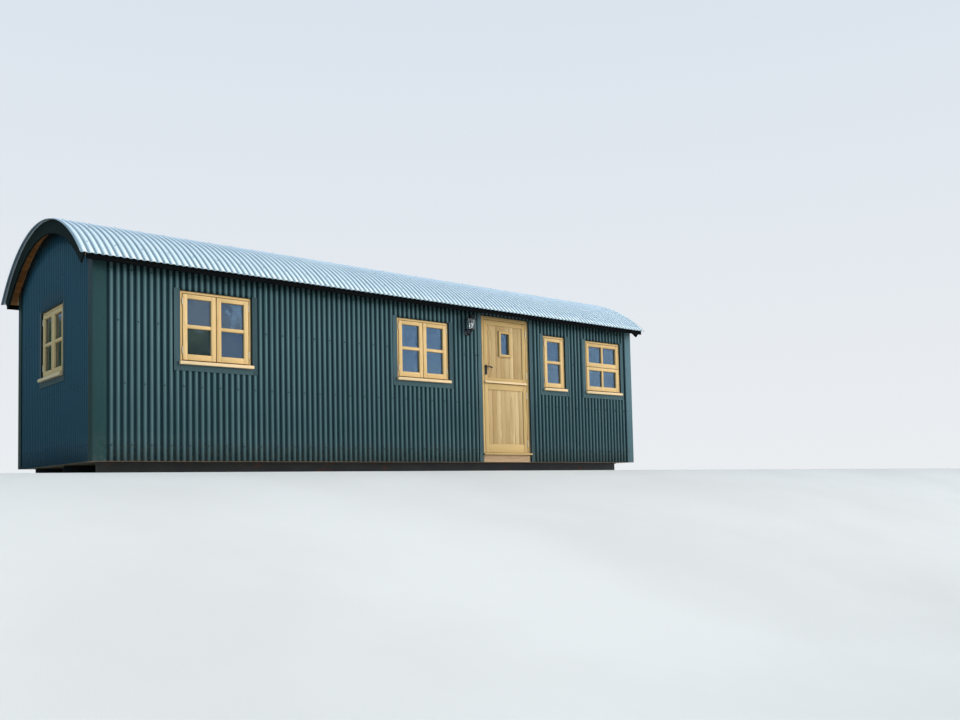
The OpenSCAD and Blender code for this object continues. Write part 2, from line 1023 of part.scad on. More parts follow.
// Cup, struts and domed cap of the lantern
module lantern_body() {
    cup = [[0, 0], [16, 0], [16, 12], [34, 18], [cup_r, glass_low_z - 6], [cup_r, glass_low_z],
        [0, glass_low_z]];
    cap = [[0, 0], [rim_r, 0], [rim_r, 7], [66, 20], [vent_r, 44], [vent_r, 52], [24, 57], [14, 70],
        [finial_r, 76], [finial_r, 84], [0, 90]];
    lean = atan((glass_top_r - glass_low_r) / (glass_top_z - glass_low_z));
    color("black")
        at_lantern() {
            rotate_extrude()
                polygon(cup);
            translate([0, 0, glass_top_z])
                rotate_extrude()
                    polygon(cap);
            for (turn = [45:90:315])
                rotate([0, 0, turn])
                    translate([glass_low_r + tongue, -strut_w / 2, glass_low_z - 2 * tongue])
                        rotate([0, lean, 0])
                            cube([strut_t, strut_w, glass_top_z - glass_low_z + strut_t]);
        }
}

// Glass funnel between the cup and the cap, just inside the struts
module lantern_glass() {
    low_z = glass_low_z + seat;
    top_z = glass_top_z - seat;
    low_r = glass_low_r - tongue;
    top_r = glass_top_r - tongue;
    color("white", 0.5)
        at_lantern()
            rotate_extrude()
                polygon([[low_r - glass_wall, low_z], [low_r, low_z], [top_r, top_z],
                    [top_r - glass_wall, top_z]]);
}

chassis_rails();
floor_deck();
front_wall_left();
front_wall_right();
front_wall_over_door();
rear_wall();
left_gable_wall();
right_gable_wall();
roof_deck();
roof_sheets();
eaves_boards();
left_bargeboard();
right_bargeboard();
left_soffit();
right_soffit();
front_cladding();
rear_cladding();
left_gable_cladding();
right_gable_cladding();
corner_flashings();
window_flashings();
door_flashings();
front_window_1_frame();
front_window_2_frame();
front_window_3_frame();
front_window_4_frame();
left_gable_window_frame();
right_gable_window_frame();
front_window_1_casements();
front_window_2_casements();
front_window_3_casement();
front_window_4_lights();
left_gable_casements();
right_gable_casements();
window_glass();
window_sills();
door_frame();
door_threshold();
door_frame_hinges();
door_upper_leaf();
upper_leaf_hinges();
door_glass();
handle_plate();
door_lever();
door_lower_leaf();
lower_leaf_hinges();
lantern_bracket();
lantern_body();
lantern_glass();
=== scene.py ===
import math
import random

import bmesh
import bpy
from mathutils import Matrix, Vector, noise


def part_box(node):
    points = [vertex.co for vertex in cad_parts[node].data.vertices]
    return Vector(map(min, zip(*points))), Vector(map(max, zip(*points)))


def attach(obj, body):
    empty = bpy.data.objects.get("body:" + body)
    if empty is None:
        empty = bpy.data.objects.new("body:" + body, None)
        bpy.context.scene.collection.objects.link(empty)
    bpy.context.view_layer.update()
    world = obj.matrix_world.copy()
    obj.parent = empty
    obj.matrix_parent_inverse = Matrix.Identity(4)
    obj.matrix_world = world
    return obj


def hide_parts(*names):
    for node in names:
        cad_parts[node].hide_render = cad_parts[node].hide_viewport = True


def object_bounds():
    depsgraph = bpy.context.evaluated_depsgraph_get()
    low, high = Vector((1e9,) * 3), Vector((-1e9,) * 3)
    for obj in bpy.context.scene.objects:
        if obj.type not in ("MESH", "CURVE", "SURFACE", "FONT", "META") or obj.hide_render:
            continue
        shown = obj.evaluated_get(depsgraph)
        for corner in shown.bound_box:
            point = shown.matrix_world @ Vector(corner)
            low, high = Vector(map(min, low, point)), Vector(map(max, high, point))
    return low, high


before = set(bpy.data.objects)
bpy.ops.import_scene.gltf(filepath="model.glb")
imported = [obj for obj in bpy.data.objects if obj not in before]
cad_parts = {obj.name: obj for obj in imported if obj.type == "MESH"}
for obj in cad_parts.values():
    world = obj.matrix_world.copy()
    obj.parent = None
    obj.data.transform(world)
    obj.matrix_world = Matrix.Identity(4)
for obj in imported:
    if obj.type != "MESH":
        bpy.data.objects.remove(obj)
cad_low, cad_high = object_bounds()

# The studio: a plain pale floor, level under the hut and falling away in front of it, because the
# hut stands on higher ground than the place it is seen from. Over it are a soft sky, a broad warm
# sun and a weaker blue one from the other side.
floor_reach = 70
floor_rows = 280
floor_fall = 1.75
fall_start = cad_low.y - 0.45
fall_length = 9.0

floor_mesh = bmesh.new()
bmesh.ops.create_grid(floor_mesh, x_segments=2, y_segments=floor_rows, size=floor_reach)
for corner in floor_mesh.verts:
    share = min(max((fall_start - corner.co.y) / fall_length, 0), 1)
    corner.co.z = -floor_fall * share * share * (3 - 2 * share)
floor_data = bpy.data.meshes.new("studio_floor")
floor_mesh.to_mesh(floor_data)
floor_mesh.free()
floor_data.shade_smooth()


def put_in_scene(name, data):
    """A new object with its data, in the scene."""
    made = bpy.data.objects.new(name, data)
    bpy.context.scene.collection.objects.link(made)
    return made


studio_floor = put_in_scene("studio_floor", floor_data)


def plug(tree, value, socket):
    """Joins a socket to another, or sets its plain value. A colour is its red, green and blue."""
    if isinstance(value, bpy.types.NodeSocket):
        tree.links.new(value, socket)
    elif socket.type == "RGBA":
        socket.default_value = (*value, 1)
    else:
        socket.default_value = value


def set_inputs(tree, node, inputs):
    """Joins or sets the inputs of a node, by name or number."""
    for name, value in inputs.items():
        plug(tree, value, node.inputs[name])


def add_node(tree, kind, inputs=(), **settings):
    """A new node with its settings and its inputs."""
    made = tree.nodes.new(kind)
    for name, value in settings.items():
        setattr(made, name, value)
    set_inputs(tree, made, dict(inputs))
    return made


def mixed(tree, share, first, second):
    """Two colours mixed by a share."""
    colours = {0: share, 6: first, 7: second}
    return add_node(tree, "ShaderNodeMix", colours, data_type="RGBA").outputs[2]


def worked(tree, how, first, second=0.0, clamp=False):
    """One step of arithmetic on values."""
    values = {0: first, 1: second}
    return add_node(tree, "ShaderNodeMath", values, operation=how, use_clamp=clamp).outputs[0]


def plus(tree, first, second, clamp=False):
    return worked(tree, "ADD", first, second, clamp)


def minus(tree, first, second):
    return worked(tree, "SUBTRACT", first, second)


def times(tree, first, second, clamp=False):
    return worked(tree, "MULTIPLY", first, second, clamp)


def ranged(tree, value, low, high, to_low=0.0, to_high=1.0):
    """A value taken from one range to another and held inside it."""
    values = {0: value, 1: low, 2: high, 3: to_low, 4: to_high}
    return add_node(tree, "ShaderNodeMapRange", values).outputs[0]


def noise_at(tree, where, scale, detail=3.0, stretch=(1, 1, 1)):
    """Soft noise, stretched along the axes."""
    placed = add_node(tree, "ShaderNodeMapping", {"Vector": where, "Scale": stretch}).outputs[0]
    values = {"Vector": placed, "Scale": scale, "Detail": detail}
    return add_node(tree, "ShaderNodeTexNoise", values).outputs[0]


def axis_of(tree, where, axis):
    """One coordinate of a place: X, Y or Z."""
    return add_node(tree, "ShaderNodeSeparateXYZ", {0: where}).outputs[axis]


def new_material(name):
    """An empty material, with its tree, its shader and the piece's own coordinates."""
    made = bpy.data.materials.new(name)
    made.use_nodes = True
    tree = made.node_tree
    shader = tree.nodes["Principled BSDF"]
    where = tree.nodes.new("ShaderNodeTexCoord").outputs["Object"]
    return made, tree, shader, where


def bump(tree, shader, height, depth, strength=1.0):
    """Raises the surface by a height value, at its real depth in metres."""
    values = {"Height": height, "Distance": depth, "Strength": strength}
    set_inputs(tree, shader, {"Normal": add_node(tree, "ShaderNodeBump", values).outputs[0]})


grey_sand, pale_sand = (0.62, 0.595, 0.55), (0.67, 0.645, 0.60)
floor_paint, tree, shader, where = new_material("pale_floor")
mottle = ranged(tree, noise_at(tree, where, 0.35, 4.0), 0.35, 0.65)
set_inputs(tree, shader, {
    "Base Color": mixed(tree, mottle, grey_sand, pale_sand),
    "Roughness": 0.9,
    "Specular IOR Level": 0.2,
})
bump(tree, shader, noise_at(tree, where, 90.0, 3.0), 0.0006)
floor_data.materials.append(floor_paint)

# The sky: broken cloud on blue, darker and green low down on one side and with one lamp in it, as
# the panes show it. The camera sees a plain pale backdrop in its place.
world = bpy.data.worlds.new("soft_sky")
bpy.context.scene.world = world
world.use_nodes = True
tree = world.node_tree
facing = tree.nodes.new("ShaderNodeTexCoord").outputs["Generated"]
height = axis_of(tree, facing, "Z")
cloud = ranged(tree, noise_at(tree, facing, 4.6, 7.0, (1, 1, 2.4)), 0.44, 0.60)
blue_sky = mixed(tree, ranged(tree, height, 0.0, 0.7), (0.26, 0.40, 0.66), (0.20, 0.33, 0.55))
cloudy_sky = mixed(tree, times(tree, cloud, 0.85), blue_sky, (0.72, 0.76, 0.80))
leafy = ranged(tree, noise_at(tree, facing, 26.0, 6.0), 0.40, 0.62)
low_green = mixed(tree, leafy, (0.035, 0.060, 0.018), (0.20, 0.25, 0.13))
ragged = plus(tree, height, times(tree, noise_at(tree, facing, 40.0, 4.0), -0.02))
over_green = mixed(tree, ranged(tree, ragged, 0.162, 0.168), low_green, cloudy_sky)
one_side = ranged(tree, axis_of(tree, facing, "X"), 0.400, 0.408)
whole_sky = mixed(tree, one_side, over_green, cloudy_sky)
over_ground = mixed(tree, ranged(tree, height, -0.10, 0.02), (0.30, 0.295, 0.28), whole_sky)
lamp_way = tuple(Vector((0.55, -0.45, 0.75)).normalized())
lamp_near = add_node(tree, "ShaderNodeVectorMath", {0: facing, 1: lamp_way},
                     operation="DOT_PRODUCT").outputs["Value"]
lit_sky = mixed(tree, ranged(tree, lamp_near, 0.968, 0.984), over_ground, (7.0, 6.8, 6.4))
backdrop = mixed(tree, ranged(tree, height, -0.02, 0.5), (0.84, 0.86, 0.88), (0.70, 0.77, 0.85))
seen = tree.nodes.new("ShaderNodeLightPath").outputs["Is Camera Ray"]
set_inputs(tree, tree.nodes["Background"], {"Color": mixed(tree, seen, lit_sky, backdrop)})

for name, strength, spread, tint, way in (
    ("broad_key", 3.75, 36, (1.0, 0.965, 0.905), (0.90, -0.95, 0.33)),
    ("blue_fill", 1.1, 80, (0.40, 0.78, 1.0), (-0.90, -0.22, 0.40)),
):
    light = bpy.data.lights.new(name, "SUN")
    light.energy = strength
    light.angle = math.radians(spread)
    light.color = tint
    sun = put_in_scene(name, light)
    sun.rotation_mode = "QUATERNION"
    sun.rotation_quaternion = Vector(way).to_track_quat("Z", "Y")
    sun.visible_glossy = False

bpy.context.scene.view_settings.view_transform = "Standard"
bpy.context.scene.view_settings.look = "None"

# The camera, where the photograph was taken from. Its axis meets the picture below the middle, so
# the lens is shifted up.
eye = Vector((-7.8048, -12.1226, -0.2584))
eye_turn = math.radians(40.1298)
eye_lift = math.radians(3.1395)
eye_roll = math.radians(-1.2577)
picture_w = 960
focal_px = 927.4
axis_left_px = -1.86
axis_down_px = 78.54
ahead = Vector((math.sin(eye_turn) * math.cos(eye_lift), math.cos(eye_turn) * math.cos(eye_lift),
                math.sin(eye_lift)))
level_right = Vector((math.cos(eye_turn), -math.sin(eye_turn), 0))
level_up = level_right.cross(ahead)
right = math.cos(eye_roll) * level_right + math.sin(eye_roll) * level_up
up = math.cos(eye_roll) * level_up - math.sin(eye_roll) * level_right
camera_data = bpy.data.cameras.new("camera")
camera_data.sensor_width = 36
camera_data.lens = camera_data.sensor_width * focal_px / picture_w
camera_data.shift_x = axis_left_px / picture_w
camera_data.shift_y = axis_down_px / picture_w
camera_data.clip_start = 0.05
camera_data.clip_end = 400
camera = put_in_scene("camera", camera_data)
camera.matrix_world = Matrix.Translation(eye) @ Matrix((right, up, -ahead)).transposed().to_4x4()
bpy.context.scene.camera = camera

# The chassis: three rolled steel rails under the floor, painted black, with the paint rubbed and
# rusting in places. They stay as the frame has them.
rail_steel, tree, shader, where = new_material("black_rail_steel")
rust = ranged(tree, noise_at(tree, where, 7.0, 6.0, (0.4, 1, 1)), 0.60, 0.72)
rail_tone = noise_at(tree, where, 3.0, 2.0)
rail_black = mixed(tree, rail_tone, (0.014, 0.015, 0.016), (0.035, 0.036, 0.036))
set_inputs(tree, shader, {
    "Base Color": mixed(tree, rust, rail_black, (0.13, 0.045, 0.018)),
    "Roughness": ranged(tree, rust, 0.0, 1.0, 0.45, 0.85),
})
bump(tree, shader, noise_at(tree, where, 160.0, 4.0), 0.0006)


def dress(node, material):
    """Gives a node of the frame its material and keeps its shape."""
    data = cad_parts[node].data
    data.materials.clear()
    data.materials.append(material)


dress("chassis_rails", rail_steel)


# The timber walls and the deck: softwood panels lined with upright tongued boards, limewashed, as
# they show through the doorway and the windows.
def new_group(name, **inputs):
    """A shader group that gives a colour, a roughness and a height: its tree and both its ends."""
    made = bpy.data.node_groups.new(name, "ShaderNodeTree")
    for label, kind in inputs.items():
        made.interface.new_socket(label, in_out="INPUT", socket_type="NodeSocket" + kind)
    for label, kind in (("Color", "Color"), ("Roughness", "Float"), ("Height", "Float")):
        made.interface.new_socket(label, in_out="OUTPUT", socket_type="NodeSocket" + kind)
    return made, made.nodes.new("NodeGroupInput").outputs, made.nodes.new("NodeGroupOutput")


# Planed timber: growth rings round a heart behind the board, long fibres, short dark pores and a
# change of tone from board to board. The third coordinate runs along the grain.
timber, given, result = new_group("planed_timber", Vector="Vector", Pale="Color", Dark="Color",
                                  Rings="Float", Variety="Float")
grain_at = given["Vector"]
cross = add_node(timber, "ShaderNodeVectorMath", {0: grain_at, 1: (1, 1, 0)}, operation="MULTIPLY")
heart = add_node(timber, "ShaderNodeVectorMath", {0: cross.outputs[0]}, operation="LENGTH")
warp = times(timber, noise_at(timber, grain_at, 4.0, 2.0, (1, 1, 0.25)), 0.10)
ring_place = times(timber, plus(timber, heart.outputs["Value"], warp), given["Rings"])
ring_wave = worked(timber, "SINE", times(timber, ring_place, 2 * math.pi))
ring = worked(timber, "POWER", ranged(timber, ring_wave, -1.0, 1.0), 2.5)
fibre = noise_at(timber, grain_at, 1.0, 4.0, (320, 320, 7))
pore = ranged(timber, noise_at(timber, grain_at, 1.0, 2.0, (900, 900, 30)), 0.62, 0.72)
tone = ranged(timber, noise_at(timber, grain_at, 1.0, 2.0, (3, 3, 0.4)), 0.36, 0.64)
fibre_tone = ranged(timber, fibre, 0.3, 0.7)
figure = plus(timber, times(timber, ring, 0.34), times(timber, fibre_tone, 0.26))
shade = plus(timber, figure, times(timber, tone, given["Variety"]), clamp=True)
wood_colour = mixed(timber, shade, given["Pale"], given["Dark"])
pore_colour = mixed(timber, 0.55, given["Dark"], (0.05, 0.02, 0.005))
set_inputs(timber, result, {
    "Color": mixed(timber, times(timber, pore, 0.5), wood_colour, pore_colour),
    "Roughness": ranged(timber, fibre, 0.3, 0.7, 0.42, 0.62),
    "Height": minus(timber, fibre, pore),
})
rings_a_metre = 70.0
linings_a_metre = 9.2


def timber_material(name, grain_from, pale, dark, variety=0.3, relief=0.0005, board_axis=None):
    """A timber finish, from a function that gives the grain's place in its tree."""
    made, tree, shader, place = new_material(name)
    values = {"Vector": grain_from(tree, place), "Pale": pale, "Dark": dark,
              "Rings": rings_a_metre, "Variety": variety}
    wood = add_node(tree, "ShaderNodeGroup", values, node_tree=timber)
    colour, height = wood.outputs["Color"], wood.outputs["Height"]
    if board_axis:
        boards = times(tree, axis_of(tree, place, board_axis), linings_a_metre)
        across = worked(tree, "FRACT", boards)
        joint = ranged(tree, worked(tree, "ABSOLUTE", minus(tree, across, 0.5)), 0.470, 0.495)
        colour = mixed(tree, times(tree, joint, 0.75), colour, (0.05, 0.035, 0.02))
        height = minus(tree, height, times(tree, joint, 4.0))
    set_inputs(tree, shader, {
        "Base Color": colour,
        "Roughness": wood.outputs["Roughness"],
        "Specular IOR Level": 0.35,
    })
    bump(tree, shader, height, relief)
    return made


def own_grain(tree, place):
    """The grain that each board of a piece carries."""
    return add_node(tree, "ShaderNodeAttribute", attribute_name="grain").outputs["Vector"]


def grain_upright(tree, place):
    return place


def grain_lengthwise(tree, place):
    turned = {"Vector": place, "Rotation": (0, math.pi / 2, 0)}
    return add_node(tree, "ShaderNodeMapping", turned).outputs[0]


limewash, greyed = (0.66, 0.61, 0.52), (0.52, 0.46, 0.37)
long_lining = timber_material("long_wall_lining", grain_upright, limewash, greyed, board_axis="X")
gable_lining = timber_material("gable_lining", grain_upright, limewash, greyed, board_axis="Y")
for wall in ("front_wall_left", "front_wall_right", "front_wall_over_door", "rear_wall"):
    dress(wall, long_lining)
for wall in ("left_gable_wall", "right_gable_wall"):
    dress(wall, gable_lining)
dress("roof_deck", timber_material("deck_boards", grain_lengthwise, (0.60, 0.46, 0.29),
                                   (0.38, 0.25, 0.13), board_axis="Y"))


# The floor: a platform with softwood boards nailed along the room, which show when the leaves stand
# open, up to the linings and the threshold.
def add_piece(name, mesh, body, material, stands_for=(), smooth=40):
    """Puts a finished bmesh into the scene as a piece of the hut."""
    data = bpy.data.meshes.new(name)
    mesh.to_mesh(data)
    mesh.free()
    data.materials.append(material)
    data.shade_smooth()
    data.set_sharp_from_angle(angle=math.radians(smooth))
    piece = put_in_scene(name, data)
    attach(piece, body)
    if stands_for:
        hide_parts(*stands_for)
    return piece


def eased_block(mesh, low, high, ease, segments):
    """A block between two corners with eased edges."""
    before = set(mesh.verts)
    block = bmesh.ops.create_cube(mesh, size=1)["verts"]
    bmesh.ops.scale(mesh, vec=Vector(high) - Vector(low), verts=block)
    bmesh.ops.translate(mesh, vec=(Vector(low) + Vector(high)) / 2, verts=block)
    edges = list({edge for corner in block for edge in corner.link_edges})
    bmesh.ops.bevel(mesh, geom=edges, offset=ease, offset_type="OFFSET", segments=segments,
                    profile=0.5, affect="EDGES", material=-1, clamp_overlap=True)
    return [corner for corner in mesh.verts if corner not in before]


board_luck = random.Random(7)


def new_grain(low, high):
    """Where a board's grain starts, a little different on every board."""
    luck = [board_luck.uniform(*reach) for reach in ((-0.12, 0.12), (0.05, 0.14), (-40, 40))]
    return (Vector(low) + Vector(high)) / 2, Vector(luck)


def board(mesh, low, high, along, ease=0.0015, cut_from=None):
    """A planed board between two corners. Along is the axis of its grain: 0, 1 or 2."""
    layers = mesh.verts.layers.float_vector
    grain = layers.get("grain") or layers.new("grain")
    middle, luck = cut_from or new_grain(low, high)
    made = eased_block(mesh, low, high, ease, 2)
    across = [axis for axis in (0, 1, 2) if axis != along]
    for corner in made:
        place = corner.co - middle
        corner[grain] = Vector((place[across[0]], place[across[1]], place[along])) + luck
    return made


floor_timber = timber_material("floorboards", own_grain, (0.46, 0.31, 0.17),
                               (0.27, 0.155, 0.075), 0.5)
dress("floor_deck", timber_material("floor_platform", grain_lengthwise, (0.42, 0.29, 0.17),
                                    (0.25, 0.16, 0.085)))
lining_gap = 0.002
room_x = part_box("right_gable_wall")[0].x - lining_gap
room_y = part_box("rear_wall")[0].y - lining_gap
floor_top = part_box("floor_deck")[1].z
floor_boards = 21
floor_board_t = 0.019
butt_joints = (-1.9, 0.4, 2.3)
end_gap = 0.0005
side_gap = 0.0007
board_w = 2 * room_y / floor_boards
mesh = bmesh.new()
for number in range(floor_boards):
    start = -room_y + number * board_w
    joint = butt_joints[number % 3]
    for left, right_end in ((-room_x, joint), (joint, room_x)):
        board(mesh, (left + end_gap, start + side_gap, floor_top),
              (right_end - end_gap, start + board_w - side_gap, floor_top + floor_board_t), 0)
add_piece("room_floorboards", mesh, "hut", floor_timber, smooth=30)

# The corrugated cladding: upright sheets of painted steel, each lapped over the next by most of a
# corrugation and screwed through its crests, on the front, the rear and both gables.
pitch = 0.0762
wave_depth = 0.0146
sheet_cover = 10 * pitch
sheet_lap = 0.7 * pitch
narrowest_sheet = 0.15
end_slack = 0.01
lap_lift = 0.0009
sheet_steel = 0.0009
dent_depth = 0.0006
columns_a_wave = 12
sheet_rows = 9
half_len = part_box("corner_flashings")[1].x
half_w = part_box("corner_flashings")[1].y
clad_low, clad_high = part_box("front_cladding")
clad_foot = clad_low.z
clad_inset = 0.0209
roof_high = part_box("roof_sheets")[1]
eave_height = 2.424
deck_t = 0.042
roof_rise = roof_high.z - eave_height
roof_radius = (roof_high.y**2 + roof_rise**2) / (2 * roof_rise)
roof_centre = roof_high.z - roof_radius
deck_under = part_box("roof_deck")[1].z - deck_t - roof_centre


def under_deck(across, drop=0.0):
    """Height of the deck's underside, or of a curve below it, at a distance from the middle."""
    return roof_centre + math.sqrt((deck_under - drop) ** 2 - across**2)


def sheets_side_by_side(left, right):
    """Ends of the lapped sheets that cover a length."""
    ends = []
    start = left
    while start < right - end_slack:
        end = start + sheet_cover + sheet_lap
        end = right if right - end < narrowest_sheet else end
        ends.append((start, end))
        start = end - sheet_lap if end < right else right
    return ends


def crest_layer(mesh):
    """How far each corner is up its crest, or on a flashing the tone its paint is drawn in."""
    return mesh.verts.layers.float.get("crest") or mesh.verts.layers.float.new("crest")


def waved_grid(mesh, left, right, crest, depth, wave_columns, rows):
    """The corners of one sheet, each with its place along and up it and how far it stands out."""
    crest_mark = crest_layer(mesh)
    before = set(mesh.verts)
    columns = max(2, round((right - left) / pitch * wave_columns))
    bmesh.ops.create_grid(mesh, x_segments=columns, y_segments=rows, size=0.5)
    for corner in mesh.verts:
        if corner in before:
            continue
        along = left + (right - left) * (corner.co.x + 0.5)
        swell = (1 + math.cos(2 * math.pi * (along - crest) / pitch)) / 2
        lift = lap_lift * (right - along) / (right - left)
        corner[crest_mark] = swell
        yield corner, along, corner.co.y, depth * swell + lift + sheet_steel


cut_reach = 0.1


def cut_opening(mesh, x0, x1, z0, z1):
    """Cuts a straight-sided opening in a wall that faces -Y."""
    for point, across in (((x0, 0, 0), (1, 0, 0)), ((x1, 0, 0), (1, 0, 0)),
                          ((0, 0, z0), (0, 0, 1)), ((0, 0, z1), (0, 0, 1))):
        near = [f for f in mesh.faces
                if x0 - cut_reach < f.calc_center_median().x < x1 + cut_reach]
        around = list({part for f in near for part in (*f.edges, *f.verts)})
        bmesh.ops.bisect_plane(mesh, geom=near + around, dist=1e-6, plane_co=point, plane_no=across)
    gone = [f for f in mesh.faces
            if x0 < f.calc_center_median().x < x1 and z0 < f.calc_center_median().z < z1]
    bmesh.ops.delete(mesh, geom=gone, context="FACES")


def face_outwards(mesh, outward):
    """Turns the faces of an open sheet to one side."""
    bmesh.ops.recalc_face_normals(mesh, faces=mesh.faces)
    if sum(f.normal.dot(outward) * f.calc_area() for f in mesh.faces) < 0:
        bmesh.ops.reverse_faces(mesh, faces=mesh.faces)


def give_steel(piece):
    """Gives open sheets the thickness of the steel, inwards."""
    thickness = piece.modifiers.new("steel_thickness", "SOLIDIFY")
    thickness.thickness = sheet_steel
    thickness.offset = -1


def clad_wall(name, node, reach, top_at, crest, openings, place, material):
    """Sheets side by side over one wall, cut round its openings and set in place."""
    mesh = bmesh.new()
    for number, (left, right_end) in enumerate(sheets_side_by_side(-reach, reach)):
        seed = number * 5.3 + len(name)
        for corner, along, rise, out in waved_grid(mesh, left, right_end, crest, wave_depth,
                                                   columns_a_wave, sheet_rows):
            rise += 0.5
            out += dent_depth * noise.noise(Vector((along * 2.3, rise * 3.1, seed)))
            corner.co = Vector((along, -out, clad_foot + (top_at(along) - clad_foot) * rise))
    for opening in openings:
        cut_opening(mesh, *opening)
    bmesh.ops.transform(mesh, matrix=place, verts=mesh.verts)
    face_outwards(mesh, place.to_3x3() @ Vector((0, -1, 0)))
    give_steel(add_piece(name, mesh, "hut", material, (node,), smooth=80))


# Sheet paint: painted shade in the valleys and a painted highlight on the crests, chalked there
# too, with more painted shade low on the wall, streaks of rain and a little dust near the ground,
# over a faint orange peel.
weather, given, result = new_group("sheet_paint_weather_and_shade", Vector="Vector", Crest="Float",
                                   Paint="Color", Chalk="Color", Dust="Color")
paint_at = given["Vector"]
paint_height = axis_of(weather, paint_at, "Z")
blotch = ranged(weather, noise_at(weather, paint_at, 1.6, 4.0), 0.35, 0.7)
streak = ranged(weather, noise_at(weather, paint_at, 1.0, 4.0, (55, 55, 1.3)), 0.34, 0.72)
# The crest mask paints a highlight on the crests and shade in the valleys, besides the chalking.
crest_light = ranged(weather, given["Crest"], 0.25, 0.90)
wear = plus(weather, ranged(weather, streak, 0.0, 1.0, 0.0, 0.18), times(weather, blotch, 0.12))
# Painted shade: the crests are drawn darker lower down the wall.
low_wall_shade = ranged(weather, paint_height, 0.7, 1.6, 0.52, 0.76)
chalk_and_light = times(weather, crest_light, plus(weather, wear, low_wall_shade), clamp=True)
foot_mask = ranged(weather, paint_height, 0.50, 0.12)
specks = ranged(weather, noise_at(weather, paint_at, 24.0, 5.0), 0.40, 0.62)
splash = times(weather, foot_mask, specks)
# The darker colour is painted shade; the paler one is chalk with a painted highlight.
painted = mixed(weather, chalk_and_light, given["Paint"], given["Chalk"])
dull = plus(weather, times(weather, streak, 0.10), times(weather, splash, 0.3))
set_inputs(weather, result, {
    "Color": mixed(weather, times(weather, splash, 0.25), painted, given["Dust"]),
    "Roughness": plus(weather, dull, 0.38),
    "Height": noise_at(weather, paint_at, 420.0, 2.0),
})


def own_crest(tree):
    """How far a place stands out on its sheet, as its mesh carries it."""
    return add_node(tree, "ShaderNodeAttribute", attribute_name="crest").outputs["Fac"]


def paint_material(name, paint, lit_chalk):
    """A green paint: painted shade in the valleys, a painted highlight and chalk on the crests."""
    made, tree, shader, place = new_material(name)
    values = {"Vector": place, "Crest": own_crest(tree), "Paint": paint, "Chalk": lit_chalk,
              "Dust": (0.10, 0.09, 0.07)}
    coat = add_node(tree, "ShaderNodeGroup", values, node_tree=weather)
    set_inputs(tree, shader, {
        "Base Color": coat.outputs["Color"],
        "Roughness": coat.outputs["Roughness"],
        "Specular IOR Level": 0.15,
    })
    bump(tree, shader, coat.outputs["Height"], 0.00008)
    return made


# The first colour of each paint is its painted shade, the second its chalk and painted highlight.
sheet_green = paint_material("green_sheet_paint", (0.0028, 0.0155, 0.0195), (0.082, 0.144, 0.154))
# The gables take a bluer, flatter copy of the sheet paint: painted shade.
shaded_gable_green = paint_material("shaded_green_gable_paint", (0.0085, 0.0380, 0.0560), (0.022, 0.074, 0.102))

seat = 0.0003
flash = 0.003
sill_t = 0.050
hole_gap = 0.0035
sill_clear = 0.0006
below_foot = 0.05
corner_leg = 0.150
first_crest = 0.057
closure_h = 0.030
frames_front = ["front_window_%d_frame" % number for number in (1, 2, 3, 4)]
openings_front = []
for node in frames_front + ["door_frame"]:
    low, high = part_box(node)
    under = low.z - sill_t - sill_clear if node in frames_front else clad_foot - below_foot
    openings_front.append((low.x - hole_gap, high.x + hole_gap, under, high.z + hole_gap))
front_crest = -half_len + corner_leg + first_crest
on_front = Matrix.Translation((0, clad_inset - half_w, 0))
on_rear = Matrix.Rotation(math.pi, 4, "Z") @ on_front
clad_wall("front_corrugated_sheets", "front_cladding", clad_high.x, lambda x: clad_high.z,
          front_crest, openings_front, on_front, sheet_green)
clad_wall("rear_corrugated_sheets", "rear_cladding", clad_high.x, lambda x: clad_high.z,
          0.0, (), on_rear, sheet_green)
for side, word in ((-1, "left"), (1, "right")):
    low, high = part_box(word + "_gable_window_frame")
    half_hole = (high.y - low.y) / 2 + hole_gap
    hole = (-half_hole, half_hole, low.z - sill_t - sill_clear, high.z + hole_gap)
    on_gable = (Matrix.Rotation(side * math.pi / 2, 4, "Z")
                @ Matrix.Translation((0, clad_inset - half_len, 0)))
    clad_wall(word + "_gable_corrugated_sheets", word + "_gable_cladding",
              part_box(word + "_gable_cladding")[1].y, lambda y: under_deck(y, closure_h), 0.0,
              (hole,), on_gable, shaded_gable_green)

# The closure strips: black foam in the gap over the sheets of each gable, cut to the roof's curve
# and pushed in flush with the backs of the crests. Their black also stands for the shade in the gap
# under the soffit: painted shade.
foam_and_gap_shade, tree, shader, where = new_material("black_foam_closure_and_gap_shade")
cells = noise_at(tree, where, 700.0, 2.0)
set_inputs(tree, shader, {
    # Black foam, and painted shade in the gap under the soffit.
    "Base Color": mixed(tree, cells, (0.004, 0.004, 0.004), (0.012, 0.012, 0.012)),
    "Roughness": 0.95,
})
bump(tree, shader, cells, 0.001)
closure_clear = 0.0005
closure_back = 0.002
closure_short = 0.03


def arched_strip(mesh, inner, outer, x0, x1, half_angle, steps=60):
    """A strip under the roof's curve, spun from its section at one eaves to the other."""
    corners = ((x0, inner), (x1, inner), (x1, outer), (x0, outer))
    section = [mesh.verts.new((x, 0, radius)) for x, radius in corners]
    face = mesh.faces.new(section)
    tilt = Matrix.Rotation(half_angle, 3, "X")
    bmesh.ops.rotate(mesh, cent=(0, 0, 0), matrix=tilt, verts=section)
    bmesh.ops.spin(mesh, geom=section + list(face.edges) + [face], cent=(0, 0, 0), axis=(1, 0, 0),
                   angle=-2 * half_angle, steps=steps)
    bmesh.ops.translate(mesh, vec=(0, 0, roof_centre), verts=mesh.verts)
    bmesh.ops.recalc_face_normals(mesh, faces=mesh.faces)


for side, word in ((-1, "left"), (1, "right")):
    mesh = bmesh.new()
    near, far = sorted((side * (half_len - clad_inset + closure_clear),
                        side * (half_len - clad_inset + wave_depth - closure_back)))
    arched_strip(mesh, deck_under - closure_h + closure_clear, deck_under - 2 * closure_clear,
                 near, far, math.asin((half_w - closure_short) / deck_under))
    add_piece(word + "_gable_closure_strip", mesh, "hut", foam_and_gap_shade, smooth=30)
